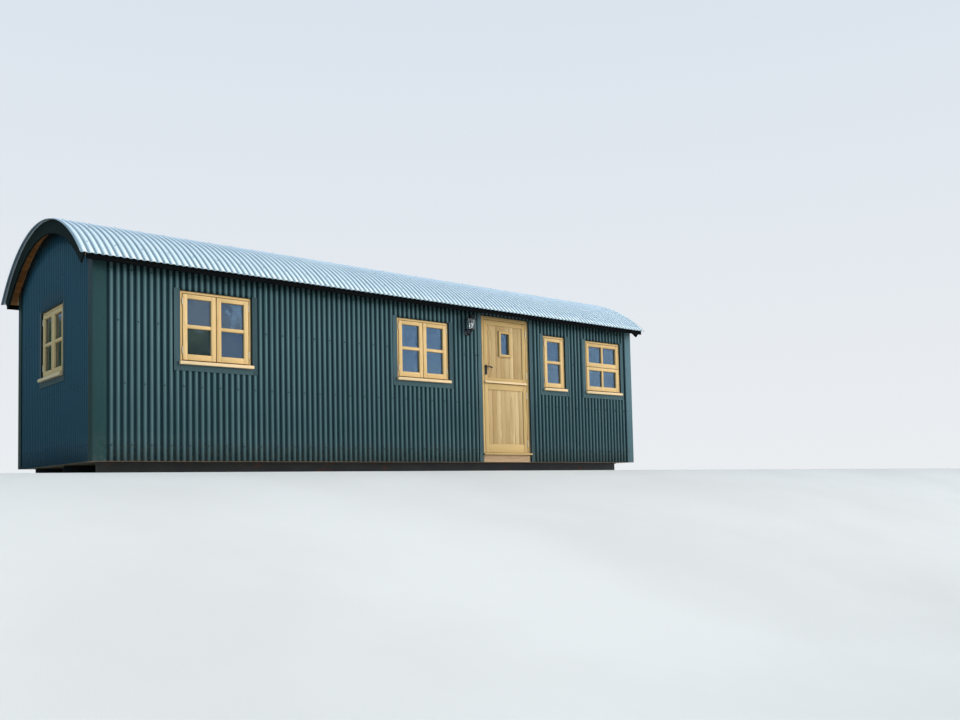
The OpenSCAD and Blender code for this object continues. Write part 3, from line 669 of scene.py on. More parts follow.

# The flashings: flat steel folded over the corners and beside the windows and the door, painted as
# the sheets are, with an eased bend. The right-hand corners are drawn paler than the left-hand
# ones and their gable legs darker: painted light and shade.
flash_green = paint_material("green_flashing_paint", (0.006, 0.026, 0.024), (0.110, 0.185, 0.215))
window_green = paint_material("green_window_flashing_paint", (0.0015, 0.0060, 0.0075),
                              (0.076, 0.134, 0.148))
# Painted light: the right-hand corners are drawn paler than the left-hand ones, and painted shade
# darkens their gable legs.
corner_light = {-1: 0.34, 1: 0.74}
gable_leg_shade = 0.16
head_clear = 0.0005
bend_r = 0.004
angle_section = ((0, 0), (corner_leg, 0), (corner_leg, flash), (flash, flash), (flash, corner_leg),
                 (0, corner_leg))
mesh = bmesh.new()
tone_mark = crest_layer(mesh)
for turn_x in (-1, 1):
    for turn_y in (-1, 1):
        foot = [mesh.verts.new((turn_x * (half_len - a), turn_y * (half_w - b), clad_foot))
                for a, b in angle_section]
        grown = bmesh.ops.extrude_face_region(mesh, geom=[mesh.faces.new(foot)])["geom"]
        head = [part for part in grown if isinstance(part, bmesh.types.BMVert)]
        for corner in head:
            corner.co.z = under_deck(corner.co.y) - head_clear
        for corner in foot + head:
            on_gable_leg = abs(corner.co.y) < half_w - 2 * flash
            corner[tone_mark] = corner_light[turn_x] - (gable_leg_shade if on_gable_leg else 0.0)
        bend = [e for e in mesh.edges
                if abs(e.verts[0].co.z - e.verts[1].co.z) > 1
                and abs(e.verts[0].co.x - turn_x * half_len) < 1e-6
                and abs(e.verts[0].co.y - turn_y * half_w) < 1e-6]
        bmesh.ops.bevel(mesh, geom=bend, offset=bend_r, offset_type="OFFSET", segments=3,
                        profile=0.5, affect="EDGES", material=-1)
bmesh.ops.recalc_face_normals(mesh, faces=mesh.faces)
add_piece("corner_flashing_folds", mesh, "hut", flash_green,
          ("corner_flashings",))


def place_of(node):
    """Where a wall piece drawn for the front stands: its middle, the flashings and its foot."""
    low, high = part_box(node)
    middle = (low + high) / 2
    for side, word in ((-1, "left_gable"), (1, "right_gable")):
        if node.startswith(word):
            turn = Matrix.Rotation(side * math.pi / 2, 4, "Z")
            return Matrix.Translation((side * half_len, middle.y, low.z)) @ turn
    return Matrix.Translation((middle.x, -half_w, low.z))


def size_of(node):
    """Width and height of a wall piece."""
    low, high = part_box(node)
    return high.y - low.y if "gable" in node else high.x - low.x, high.z - low.z


trim_w = 0.076
trim_over = 0.022
trim_under = 0.075
fold = clad_inset
# The right-hand hem is wider and drawn in the darkest paint: a painted shadow beside the frame.
shaded_hem = 0.009
trim_clear = 0.0004
cut_edge = 0.0006


def flat_steel(mesh, low, high, paint_tone):
    """One leg of a flashing, with the tone its paint is drawn in: 0 draws the darkest paint."""
    tone_mark = crest_layer(mesh)
    left, right_end = sorted((low[0], high[0]))
    made = eased_block(mesh, (left, *low[1:]), (right_end, *high[1:]), cut_edge, 1)
    for corner in made:
        corner[tone_mark] = paint_tone
    return made


mean_tone = 0.66
tone_along = 0.10
side_tone = 0.05
strip_tone = 0.06
fold_set = 0.0005
strip_drop = 0.0009
strip_past = 0.0006


def opening_flashing(mesh, w, h, foot, place, strip):
    """Side flashings with their folds, the fold over the head and the strip under the sill."""
    # The flashings are drawn paler towards the right-hand end, their right-hand legs darker and the
    # strips under the sills paler.
    paint_tone = mean_tone + tone_along * place.translation.x / half_len
    legs = []
    for side in (-1, 1):
        inner, outer = side * (w / 2 + seat), side * (w / 2 + seat + trim_w)
        lip = side * (w / 2 + seat + (shaded_hem if side > 0 else flash))
        legs.append(((lip, 0, -foot), (outer, flash, h + trim_over), paint_tone - side_tone * side))
        # The folds, the right-hand hem and the head fold take the darkest paint: painted shade in
        # the reveals and a painted shadow beside the frame.
        legs.append(((inner, 0, 0 if strip else -foot), (lip, fold, h + seat + flash), 0.0))
    legs.append(((-w / 2 - seat - flash, fold_set, h + seat),
                 (w / 2 + seat + flash, fold, h + seat + flash), 0.0))
    if strip:
        strip_head = -sill_t - strip_drop
        legs.append(((-w / 2 - strip_past, trim_clear, -foot),
                     (w / 2 + seat + shaded_hem + strip_past, flash - trim_clear, strip_head),
                     paint_tone + strip_tone))
    made = [corner for leg in legs for corner in flat_steel(mesh, *leg)]
    bmesh.ops.transform(mesh, matrix=place, verts=made)


window_frames = frames_front + ["left_gable_window_frame", "right_gable_window_frame"]
mesh = bmesh.new()
for node in window_frames:
    opening_flashing(mesh, *size_of(node), sill_t + trim_under, place_of(node), True)
add_piece("window_flashing_folds", mesh, "hut", window_green,
          ("window_flashings",))

mesh = bmesh.new()
door_low, door_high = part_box("door_frame")
door_foot = door_low.z - clad_foot
opening_flashing(mesh, *size_of("door_frame"), door_foot, place_of("door_frame"), False)
add_piece("door_flashing_folds", mesh, "hut", window_green, ("door_flashings",))

# The fixings: hexagon-headed screws with wide washers, dark green, through every third crest in
# level rows, and down the flashings of the corners and the door.
screw_green, tree, shader, where = new_material("dark_green_screws")
rubbed = noise_at(tree, where, 90.0, 3.0)
set_inputs(tree, shader, {
    "Base Color": mixed(tree, rubbed, (0.006, 0.014, 0.016), (0.016, 0.030, 0.032)),
    "Roughness": 0.5,
})
bump(tree, shader, noise_at(tree, where, 600.0, 2.0), 0.0001)
washer_foot_r = 0.0098
washer_top_r = 0.0086
washer_t = 0.0022
bolt_foot_r = 0.0056
bolt_top_r = 0.0050
bolt_t = 0.0046
bolt_up = 0.0030


def screw(mesh, place, outward):
    """A washer and a hexagon head standing on a sheet."""
    washer = bmesh.ops.create_cone(mesh, cap_ends=True, segments=12, radius1=washer_foot_r,
                                   radius2=washer_top_r, depth=washer_t)["verts"]
    head = bmesh.ops.create_cone(mesh, cap_ends=True, segments=6, radius1=bolt_foot_r,
                                 radius2=bolt_top_r, depth=bolt_t)["verts"]
    bmesh.ops.translate(mesh, vec=(0, 0, bolt_up), verts=head)
    turn = Vector((0, 0, 1)).rotation_difference(Vector(outward)).to_matrix().to_4x4()
    bmesh.ops.transform(mesh, matrix=Matrix.Translation(place) @ turn, verts=washer + head)


def crests_between(first, last, phase, every, shift=0):
    """Places of every few crests along a wall."""
    count = range(math.ceil((first - phase) / pitch), math.floor((last - phase) / pitch) + 1)
    return [phase + number * pitch for number in count if (number + shift) % every == 0]


beside_trim = 0.01
over_trim = 0.03


def trimmed(hole, along, z):
    """Whether a place lies in an opening or under its flashings."""
    beside = hole[0] - trim_w - beside_trim < along < hole[1] + trim_w + beside_trim
    return beside and hole[2] - trim_under < z < hole[3] + over_trim


screw_rows = (0.330, 1.030, 1.745)
eaves_row = 2.330
gable_rows = (2.430, 2.785)
corner_row = 2.300
leg_end = 0.02
leg_screw_at = corner_leg - 0.030
trim_screw_in = 0.014
under_roof = 0.06
crest_clear = 0.0008
long_reach = half_len - corner_leg - leg_end
gable_reach = half_w - corner_leg - leg_end
crest_face = clad_inset - wave_depth - lap_lift / 2 - sheet_steel - crest_clear
low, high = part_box("left_gable_window_frame")
gable_hole = (-high.y, high.y, low.z - sill_t, high.z)
mesh = bmesh.new()
for row, z in enumerate((*screw_rows, eaves_row)):
    for x in crests_between(-long_reach, long_reach, front_crest, 3, row):
        if not any(trimmed(hole, x, z) for hole in openings_front):
            screw(mesh, (x, crest_face - half_w, z), (0, -1, 0))
    for x in crests_between(-long_reach, long_reach, 0.0, 3, row):
        screw(mesh, (x, half_w - crest_face, z), (0, 1, 0))
for row, z in enumerate(screw_rows + gable_rows):
    for y in crests_between(-gable_reach, gable_reach, 0.0, 3, row):
        if not trimmed(gable_hole, y, z) and z < under_deck(y) - under_roof:
            for side in (-1, 1):
                screw(mesh, (side * (half_len - crest_face), y, z), (side, 0, 0))
for z in (*screw_rows, corner_row):
    for side in (-1, 1):
        for end in (-1, 1):
            screw(mesh, (side * (half_len - leg_screw_at), end * half_w, z), (0, end, 0))
            screw(mesh, (end * half_len, side * (half_w - leg_screw_at), z), (end, 0, 0))
for z in screw_rows:
    for x in (door_low.x - trim_w + trim_screw_in, door_high.x + trim_w - trim_screw_in):
        screw(mesh, (x, -half_w, z), (0, -1, 0))
add_piece("wall_sheet_screws", mesh, "hut", screw_green)

# The windows: oak frames of two posts and a head, set back in the flashings, with joined casements
# crossed by one bar, and the two lights of the window at the far end with a bar upright in each.
honey, amber = (0.61, 0.43, 0.205), (0.42, 0.255, 0.085)
oak = timber_material("oiled_oak", own_grain, honey, amber, 0.22, relief=0.0004)
frame_face = 0.028
frame_recess = 0.020
frame_back = frame_recess + 0.088
frame_stop = 0.012
stile_face = 0.058
head_rail = 0.050
foot_rail = 0.067
casement_gap = 0.008
casement_t = 0.044
casement_proud = 0.006
casement_front = frame_recess - casement_proud
casement_back = casement_front + casement_t
pane_back = casement_back - 0.0205
bar_face = 0.038
bar_set = 0.004
bead = 0.005
bead_set = 0.013
tenon = 0.001
meeting_gap = 0.011
meeting_depth = 0.014
meeting_set = 0.001
post_ease = 0.002
stile_ease = 0.0035
casement_rail_ease = 0.0025
bar_ease = 0.003


def posts_and_head(mesh, low, high, face, stop, rebate, stop_ease):
    """Posts and head of a frame between two corners, with stops behind its leaves."""
    (left, front, foot), (right_end, back, head) = low, high
    for outer, side in ((left, 1), (right_end, -1)):
        post = sorted((outer, outer + side * face))
        inside = sorted((outer + side * face, outer + side * (face + stop)))
        board(mesh, (post[0], front, foot), (post[1], back, head), 2, post_ease)
        board(mesh, (inside[0], rebate, foot), (inside[1], back, head - face), 2, stop_ease)
    board(mesh, (left + face, front, head - face), (right_end - face, back, head), 0, post_ease)
    board(mesh, (left + face + stop, rebate, head - face - stop),
          (right_end - face - stop, back, head - face), 0, stop_ease)


def joined_frame(mesh, low, high, stile, low_rail, high_rail, ease, rail_ease=None):
    """Two uprights with a rail between them at the foot and at the head."""
    (left, front, foot), (right_end, back, head) = low, high
    start, end = left + stile, right_end - stile
    board(mesh, low, (start, back, head), 2, ease)
    board(mesh, (end, front, foot), high, 2, ease)
    for rail_foot, rail_head in ((foot, foot + low_rail), (head - high_rail, head)):
        board(mesh, (start, front, rail_foot), (end, back, rail_head), 0, rail_ease or ease)


def casement(mesh, left, right_end, foot, head, bar):
    """One casement: stiles, rails and a bar, with a slim bead round each pane."""
    joined_frame(mesh, (left, casement_front, foot), (right_end, casement_back, head), stile_face,
                 foot_rail, head_rail, stile_ease, casement_rail_ease)
    columns = [left + stile_face, right_end - stile_face]
    rows = [foot + foot_rail, head - head_rail]
    bar_front = casement_front + bar_set
    if bar == "across":
        low_edge, high_edge = ((rows[0] + rows[1] + turn * bar_face) / 2 for turn in (-1, 1))
        board(mesh, (columns[0] - tenon, bar_front, low_edge),
              (columns[1] + tenon, pane_back, high_edge), 0, bar_ease)
        rows[1:1] = [low_edge, high_edge]
    else:
        low_edge, high_edge = ((left + right_end + turn * bar_face) / 2 for turn in (-1, 1))
        board(mesh, (low_edge, bar_front, rows[0] - tenon),
              (high_edge, pane_back, rows[1] + tenon), 2, bar_ease)
        columns[1:1] = [low_edge, high_edge]
    for x0, x1 in zip(columns[::2], columns[1::2]):
        for z0, z1 in zip(rows[::2], rows[1::2]):
            joined_frame(mesh, (x0 - tenon, casement_front + bead_set, z0 - tenon),
                         (x1 + tenon, pane_back, z1 + tenon), bead, bead, bead, bar_ease)


casement_nodes = {
    "front_window_1_frame": "front_window_1_casements",
    "front_window_2_frame": "front_window_2_casements",
    "front_window_3_frame": "front_window_3_casement",
    "front_window_4_frame": "front_window_4_lights",
    "left_gable_window_frame": "left_gable_casements",
    "right_gable_window_frame": "right_gable_casements",
}
for node, leaf_node in casement_nodes.items():
    w, h = size_of(node)
    mesh = bmesh.new()
    posts_and_head(mesh, (-w / 2, frame_recess, 0), (w / 2, frame_back, h), frame_face, frame_stop,
                   casement_back + seat, 0.001)
    bmesh.ops.transform(mesh, matrix=place_of(node), verts=mesh.verts)
    add_piece(node + "_timber", mesh, "hut", oak, (node,))
    inner_w = w / 2 - frame_face - casement_gap
    foot, head = casement_gap, h - frame_face - casement_gap
    mesh = bmesh.new()
    if leaf_node.endswith("casements"):
        casement(mesh, -inner_w, -meeting_gap / 2, foot, head, "across")
        casement(mesh, meeting_gap / 2, inner_w, foot, head, "across")
        board(mesh, (-meeting_gap / 2 - tenon, casement_back - meeting_depth, foot),
              (meeting_gap / 2 - tenon, casement_back - meeting_set, head), 2, 0.001)
    elif leaf_node.endswith("casement"):
        casement(mesh, -inner_w, inner_w, foot, head, "across")
    else:
        middle = (foot + head) / 2
        casement(mesh, -inner_w, inner_w, foot, middle - casement_gap / 2, "upright")
        casement(mesh, -inner_w, inner_w, middle + casement_gap / 2, head, "upright")
    bmesh.ops.transform(mesh, matrix=place_of(node), verts=mesh.verts)
    add_piece(leaf_node + "_timber", mesh, "hut", oak, (leaf_node,))

# The sills: oak boards with a sloped top and a rounded nose, their horns over the side flashings.
sill_oak = timber_material("pale_sill_oak", own_grain, (0.66, 0.50, 0.30), (0.50, 0.33, 0.16), 0.15,
                           relief=0.0004)
sill_out = 0.040
sill_horn = 0.015
sill_fall = 0.012
horn_top = 0.004
sill_ease = 0.003
mesh = bmesh.new()
for node in window_frames:
    half = size_of(node)[0] / 2
    sill_foot = -sill_t - seat
    made = board(mesh, (-half, -sill_out, sill_foot), (half, frame_back, -seat), 0, sill_ease)
    for left, right_end in ((-half - sill_horn, -half + tenon), (half - tenon, half + sill_horn)):
        made += board(mesh, (left, -sill_out, sill_foot), (right_end, -seat, -horn_top), 0,
                      sill_ease)
    for corner in made:
        if corner.co.z > -sill_t / 2 and corner.co.y < frame_recess:
            corner.co.z -= sill_fall * (frame_recess - corner.co.y) / (frame_recess + sill_out)
    bmesh.ops.transform(mesh, matrix=place_of(node), verts=made)
add_piece("window_sill_boards", mesh, "hut", sill_oak, ("window_sills",))

# The glass: sealed panes that show the sky, a little uneven as toughened glass is.
pane_glass, tree, shader, where = new_material("window_pane_glass")
set_inputs(tree, shader, {
    "Base Color": (0.19, 0.265, 0.33),
    "Roughness": 0.02,
    "IOR": 1.5,
    "Metallic": 0.5,
    "Transmission Weight": 0.85,
})
bump(tree, shader, noise_at(tree, where, 3.2, 2.0), 0.004, 0.4)
dress("window_glass", pane_glass)
dress("door_glass", pane_glass)

# The window hinges: small zinc-plated butts with three knuckles, screwed to the outer stiles of the
# casements. The butts of the door are plated as they are.
zinc_plate, tree, shader, where = new_material("dull_zinc_plate")
haze = noise_at(tree, where, 120.0, 4.0)
set_inputs(tree, shader, {
    "Base Color": mixed(tree, haze, (0.80, 0.75, 0.62), (0.56, 0.50, 0.38)),
    "Metallic": 0.2,
    "Roughness": ranged(tree, haze, 0.3, 0.7, 0.35, 0.55),
})
bump(tree, shader, haze, 0.0001)
knuckle_r = 0.0048
knuckle_h = 0.024
knuckle_gap = 0.0008
hinge_in = 0.125
pin_up = 0.001


def butt_knuckles(mesh, x, y, z):
    """Three knuckles on a pin with round ends."""
    made = []
    for number in (-1, 0, 1):
        barrel = bmesh.ops.create_cone(mesh, cap_ends=True, segments=10, radius1=knuckle_r,
                                       radius2=knuckle_r, depth=knuckle_h)["verts"]
        bmesh.ops.translate(mesh, vec=(x, y, z + number * (knuckle_h + knuckle_gap)), verts=barrel)
        made += barrel
    for end in (-1, 1):
        ball = bmesh.ops.create_icosphere(mesh, subdivisions=1, radius=knuckle_r * 0.8)["verts"]
        bmesh.ops.translate(mesh, vec=(x, y, z + end * (knuckle_h * 1.5 + pin_up)), verts=ball)
        made += ball
    return made


mesh = bmesh.new()
for node, leaf_node in casement_nodes.items():
    if leaf_node.endswith("lights"):
        continue
    w, h = size_of(node)
    made = []
    for side in (-1,) if leaf_node.endswith("casement") else (-1, 1):
        for z in (hinge_in, h - hinge_in):
            made += butt_knuckles(mesh, side * (w / 2 - frame_face - casement_gap / 2),
                                  casement_front - knuckle_r * 0.4, z)
    bmesh.ops.transform(mesh, matrix=place_of(node), verts=made)
add_piece("window_hinge_knuckles", mesh, "hut", zinc_plate)
for node in ("door_frame_hinges", "upper_leaf_hinges", "lower_leaf_hinges"):
    dress(node, zinc_plate)

# The stable door: a frame of two posts and a head, and two framed leaves with sunk boards, the
# upper one with a small light in a raised moulding and a weather bar over the split.
door_oak = timber_material("door_oak", own_grain, (0.53, 0.395, 0.205), (0.28, 0.175, 0.065), 0.60)
rail_oak = timber_material("leaf_rail_oak", own_grain, (0.49, 0.345, 0.150), (0.32, 0.195, 0.065))
post_face = 0.050
stop_w = 0.016
leaf_t = 0.044
leaf_gap = 0.006
door_front = door_low.y
leaf_back = door_front + leaf_t
mesh = bmesh.new()
posts_and_head(mesh, door_low, door_high, post_face, stop_w, leaf_back + leaf_gap, post_ease)
add_piece("door_frame_timber", mesh, "hut", rail_oak, ("door_frame",))

leaf_stile = 0.070
board_count = 8
panel_set = 0.010
board_t = 0.020
tongue = 0.001
board_ease = 0.004
upper_foot_rail = 0.088
lower_head_rail = 0.090
lower_foot_rail = 0.132
upper_low, upper_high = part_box("door_upper_leaf")
lower_low, lower_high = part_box("door_lower_leaf")
leaf_left, leaf_right = lower_low.x, lower_high.x


def leaf_boards(mesh, foot, head, light=None):
    """Upright boards between the stiles, meeting in V grooves, cut round a light if it has one."""
    board_w = (leaf_right - leaf_left - 2 * leaf_stile + 2 * tongue) / board_count
    front, back = door_front + panel_set, door_front + panel_set + board_t
    for number in range(board_count):
        left = leaf_left + leaf_stile - tongue + number * board_w
        right_end = left + board_w
        parts = [(left, right_end, foot, head)]
        if light and left < light[1] and right_end > light[0]:
            parts = [(left, right_end, foot, light[2]), (left, right_end, light[3], head)]
            if left < light[0]:
                parts.append((left, light[0], light[2], light[3]))
            if right_end > light[1]:
                parts.append((light[1], right_end, light[2], light[3]))
        whole = new_grain((left, door_front, foot), (right_end, door_front, head))
        for x0, x1, z0, z1 in parts:
            board(mesh, (x0, front, z0), (x1, back, z1), 2, board_ease, whole)


light_w = 0.165
light_h = 0.320
bead_face = 0.040
bead_proud = 0.010
under_bead = 0.020
bead_ease = 0.005
light_low, light_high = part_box("door_glass")
light_middle = (light_low + light_high) / 2


def round_light(margin):
    """Left, right, foot and head of the door's light with a margin round it."""
    half_light_w, half_light_h = light_w / 2 + margin, light_h / 2 + margin
    return (light_middle.x - half_light_w, light_middle.x + half_light_w,
            light_middle.z - half_light_h, light_middle.z + half_light_h)


mesh = bmesh.new()
leaf_boards(mesh, upper_low.z + upper_foot_rail - tongue, upper_high.z - leaf_stile + tongue,
            round_light(under_bead))
add_piece("upper_leaf_panel_boards", mesh, "upper_leaf", door_oak, ("door_upper_leaf",))

mesh = bmesh.new()
joined_frame(mesh, (leaf_left, door_front, upper_low.z), (leaf_right, leaf_back, upper_high.z),
             leaf_stile, upper_foot_rail, leaf_stile, post_ease)
left, right_end, foot, head = round_light(bead_face)
joined_frame(mesh, (left, door_front - bead_proud, foot), (right_end, leaf_back, head), bead_face,
             bead_face, bead_face, bead_ease)
add_piece("upper_leaf_rails", mesh, "upper_leaf", rail_oak, ("door_upper_leaf",))

bar_out = 0.026
bar_foot = 0.004
bar_head = 0.040
bar_slope = 0.014
mesh = bmesh.new()
weather_bar = board(mesh, (leaf_left, door_front - bar_out, upper_low.z + bar_foot),
                    (leaf_right, door_front - seat, upper_low.z + bar_head), 0, board_ease)
for corner in weather_bar:
    on_top = corner.co.z > upper_low.z + (bar_foot + bar_head) / 2
    if on_top and corner.co.y < door_front - bar_out / 2:
        corner.co.z -= bar_slope
add_piece("weather_bar", mesh, "upper_leaf", sill_oak, ("door_upper_leaf",))

mesh = bmesh.new()
leaf_boards(mesh, lower_low.z + lower_foot_rail - tongue, lower_high.z - lower_head_rail + tongue)
add_piece("lower_leaf_panel_boards", mesh, "lower_leaf", door_oak, ("door_lower_leaf",))
mesh = bmesh.new()
joined_frame(mesh, (leaf_left, door_front, lower_low.z), (leaf_right, leaf_back, lower_high.z),
             leaf_stile, lower_foot_rail, lower_head_rail, post_ease)
add_piece("lower_leaf_rails", mesh, "lower_leaf", rail_oak, ("door_lower_leaf",))

threshold_clear = 0.001
seam_out = 0.0004
tread_ease = 0.004
threshold_in = post_face + threshold_clear
threshold_seam = door_front - seam_out
mesh = bmesh.new()
low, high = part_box("door_threshold")
board(mesh, low, (high.x, threshold_seam, high.z), 0, tread_ease)
board(mesh, (low.x + threshold_in, threshold_seam, low.z),
      (high.x - threshold_in, high.y, high.z), 0, post_ease)
add_piece("threshold_timber", mesh, "hut", rail_oak, ("door_threshold",))

# The roof: curved sheets of bright galvanised steel, lapped as the cladding is, each running from
# eaves to eaves over the crown.
roof_rows = 32
roof_columns_a_wave = 10
roof_wave = 0.0150
roof_dent = 0.0005
arc_short = 0.0006
roof_inset = 0.0176
end_short = 0.0012
half_arc = math.asin(roof_high.y / roof_radius) - arc_short
roof_back = roof_radius - roof_inset
roof_end = roof_high.x - end_short
mesh = bmesh.new()
for number, (start, end) in enumerate(sheets_side_by_side(-roof_end, roof_end)):
    for corner, along, turn, out in waved_grid(mesh, start, end, 0.0, roof_wave,
                                               roof_columns_a_wave, roof_rows):
        angle = 2 * half_arc * turn
        dent = roof_dent * noise.noise(Vector((along * 2.1, angle * 6, number * 3.7)))
        radius = roof_back + out + dent
        corner.co = (along, radius * math.sin(angle), roof_centre + radius * math.cos(angle))
face_outwards(mesh, Vector((0, 0, 1)))

galvanised, tree, shader, where = new_material("bright_galvanised_steel")
spangle = add_node(tree, "ShaderNodeTexVoronoi", {"Vector": where, "Scale": 55.0}, feature="F1")
crystal = add_node(tree, "ShaderNodeSeparateColor", {0: spangle.outputs["Color"]}).outputs[0]
bloom = ranged(tree, noise_at(tree, where, 1.3, 5.0), 0.35, 0.7)
run_off = ranged(tree, noise_at(tree, where, 1.0, 4.0, (34, 1.1, 1.1)), 0.40, 0.70)
spangled = mixed(tree, times(tree, crystal, 0.4), (0.66, 0.75, 0.79), (0.56, 0.67, 0.72))
zinc = mixed(tree, times(tree, bloom, 0.35), spangled, (0.74, 0.82, 0.86))
# Painted shade: the valleys are drawn a dark blue-grey, a little uneven where run-off streaks them.
hollow = minus(tree, 1.0, ranged(tree, own_crest(tree), 0.16, 0.66))
valley_shade = times(tree, hollow, ranged(tree, run_off, 0.0, 1.0, 0.80, 0.96))
set_inputs(tree, shader, {
    "Base Color": mixed(tree, valley_shade, zinc, (0.080, 0.155, 0.190)),
    "Roughness": ranged(tree, plus(tree, crystal, bloom), 0.0, 2.0, 0.34, 0.52),
    "Metallic": 0.15,
})
bump(tree, shader, crystal, 0.0001, 0.5)
give_steel(add_piece("galvanised_roof_sheets", mesh, "hut", galvanised,
                     ("roof_sheets",), smooth=80))

zinc_screw, tree, shader, where = new_material("zinc_roof_screws")
dulled = noise_at(tree, where, 80.0, 3.0)
set_inputs(tree, shader, {
    "Base Color": mixed(tree, dulled, (0.30, 0.33, 0.36), (0.52, 0.55, 0.57)),
    "Metallic": 0.6,
    "Roughness": 0.5,
})
bump(tree, shader, dulled, 0.0002)
screw_angles = (-39.0, -27.0, -15.0, 15.0, 27.0, 39.0)
screw_from_end = 0.06
screw_sunk = 0.0010
mesh = bmesh.new()
for row, degrees in enumerate(screw_angles):
    outward = Vector((0, math.sin(math.radians(degrees)), math.cos(math.radians(degrees))))
    for x in crests_between(-roof_end + screw_from_end, roof_end - screw_from_end, 0.0, 4,
                            2 * row):
        screw(mesh, Vector((x, 0, roof_centre)) + outward * (roof_radius - screw_sunk), outward)
add_piece("roof_sheet_screws", mesh, "hut", zinc_screw)

# The soffits under the gable overhangs are stained boards with open joints, nailed up under the
# deck. The barge boards are painted nearly black; the eaves boards are drawn near black as painted
# shade under the eaves.
soffit_stain = timber_material("soffit_timber", own_grain, (0.56, 0.215, 0.045),
                               (0.22, 0.070, 0.014), 0.5, relief=0.0006)
soffit_t = 0.014
soffit_boards = 34
soffit_gap = 0.002
soffit_clear = 0.0006
soffit_ease = 0.003
joint_at = 0.008
deck_angle = math.asin(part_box("roof_deck")[1].y / (deck_under + deck_t))
step = 2 * deck_angle / soffit_boards
half_board = step * (deck_under - joint_at) / 2 - soffit_gap
for word in ("left", "right"):
    low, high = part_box(word + "_soffit")
    mesh = bmesh.new()
    for number in range(soffit_boards):
        angle = -deck_angle + (number + 0.5) * step
        made = board(mesh, (low.x, -half_board, -soffit_t), (high.x, half_board, -soffit_clear),
                     0, soffit_ease)
        turn = (Matrix.Translation((0, 0, roof_centre)) @ Matrix.Rotation(-angle, 4, "X")
                @ Matrix.Translation((0, 0, deck_under)))
        bmesh.ops.transform(mesh, matrix=turn, verts=made)
    add_piece(word + "_soffit_boards", mesh, "hut", soffit_stain,
              (word + "_soffit",))


def board_paint(name, dark, pale):
    """Nearly black brushed paint, worn through in specks; on the eaves boards it is painted shade.
    """
    made, tree, shader, where = new_material(name)
    brush = noise_at(tree, where, 1.0, 4.0, (8, 160, 160))
    tone = mixed(tree, ranged(tree, brush, 0.3, 0.7), dark, pale)
    worn = ranged(tree, noise_at(tree, where, 11.0, 6.0), 0.68, 0.74)
    set_inputs(tree, shader, {
        "Base Color": mixed(tree, times(tree, worn, 0.3), tone, (0.05, 0.045, 0.035)),
        "Roughness": 0.7,
        "Specular IOR Level": 0.04,
    })
    bump(tree, shader, brush, 0.0003)
    return made


barge_green = board_paint("green_barge_paint", (0.0045, 0.0085, 0.0070), (0.0095, 0.0165, 0.0140))
# Painted shade: the eaves boards are drawn near black, as the shade under the eaves.
eaves_shade_black = board_paint("black_eaves_painted_shade", (0.0016, 0.0019, 0.0022), (0.0040, 0.0045, 0.0050))
dress("left_bargeboard", barge_green)
dress("right_bargeboard", barge_green)
dress("eaves_boards", eaves_shade_black)

# The lever handle: black powder-coated iron, a plate with rounded corners and two screws, and a
# lever that dips from its boss and curls up at the end.
black_iron, tree, shader, where = new_material("black_powder_coat")
rub = ranged(tree, noise_at(tree, where, 60.0, 5.0), 0.55, 0.75)
set_inputs(tree, shader, {
    "Base Color": mixed(tree, rub, (0.006, 0.006, 0.007), (0.016, 0.015, 0.014)),
    "Roughness": ranged(tree, rub, 0.0, 1.0, 0.18, 0.34),
    "IOR": 1.7,
})
bump(tree, shader, noise_at(tree, where, 900.0, 2.0), 0.00006)
plate_low, plate_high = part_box("handle_plate")
plate_middle = (plate_low + plate_high) / 2
plate_corner = 0.012
plate_ease = 0.0015
plate_screw_in = 0.012
plate_screw_r = 0.0045
mesh = bmesh.new()
made = bmesh.ops.create_cube(mesh, size=1)["verts"]
bmesh.ops.scale(mesh, vec=plate_high - plate_low, verts=made)
corners = [e for e in mesh.edges if abs(e.verts[0].co.y - e.verts[1].co.y) > 0.001]
bmesh.ops.bevel(mesh, geom=corners, offset=plate_corner, offset_type="OFFSET", segments=4,
                profile=0.5, affect="EDGES", material=-1)
rim = [e for e in mesh.edges if e.verts[0].co.y < 0 and e.verts[1].co.y < 0]
bmesh.ops.bevel(mesh, geom=rim, offset=plate_ease, offset_type="OFFSET", segments=2,
                profile=0.5, affect="EDGES", material=-1)
bmesh.ops.translate(mesh, vec=plate_middle, verts=mesh.verts)
for z in (plate_low.z + plate_screw_in, plate_high.z - plate_screw_in):
    dome = bmesh.ops.create_uvsphere(mesh, u_segments=12, v_segments=6,
                                     radius=plate_screw_r)["verts"]
    bmesh.ops.scale(mesh, vec=(1, 0.5, 1), verts=dome)
    bmesh.ops.translate(mesh, vec=(plate_middle.x, plate_low.y, z), verts=dome)
add_piece("handle_back_plate", mesh, "upper_leaf", black_iron, ("handle_plate",))


def rod(mesh, origin, path):
    """A round bar grown ring by ring along a path, each stop of it a place and a radius."""
    points = [origin + Vector(stop[:3]) for stop in path]
    radii = [stop[3] for stop in path]
    heading = (points[1] - points[0]).normalized()
    start = bmesh.ops.create_circle(mesh, cap_ends=True, segments=14, radius=radii[0])["verts"]
    turn = Vector((0, 0, 1)).rotation_difference(heading).to_matrix().to_4x4()
    bmesh.ops.transform(mesh, matrix=Matrix.Translation(points[0]) @ turn, verts=start)
    first = end = next(f for f in start[0].link_faces)
    for number in range(1, len(points)):
        grown = bmesh.ops.extrude_face_region(mesh, geom=[end])["geom"]
        new_end = next(part for part in grown if isinstance(part, bmesh.types.BMFace))
        if end is not first:
            bmesh.ops.delete(mesh, geom=[end], context="FACES_ONLY")
        here, before = points[number], points[number - 1]
        new_heading = (points[min(number + 1, len(points) - 1)] - before).normalized()
        swing = heading.rotation_difference(new_heading).to_matrix().to_4x4()
        size = Matrix.Scale(radii[number] / radii[number - 1], 4)
        step = Matrix.Translation(here) @ swing @ size @ Matrix.Translation(-before)
        bmesh.ops.transform(mesh, matrix=step, verts=list(new_end.verts))
        heading, end = new_heading, new_end


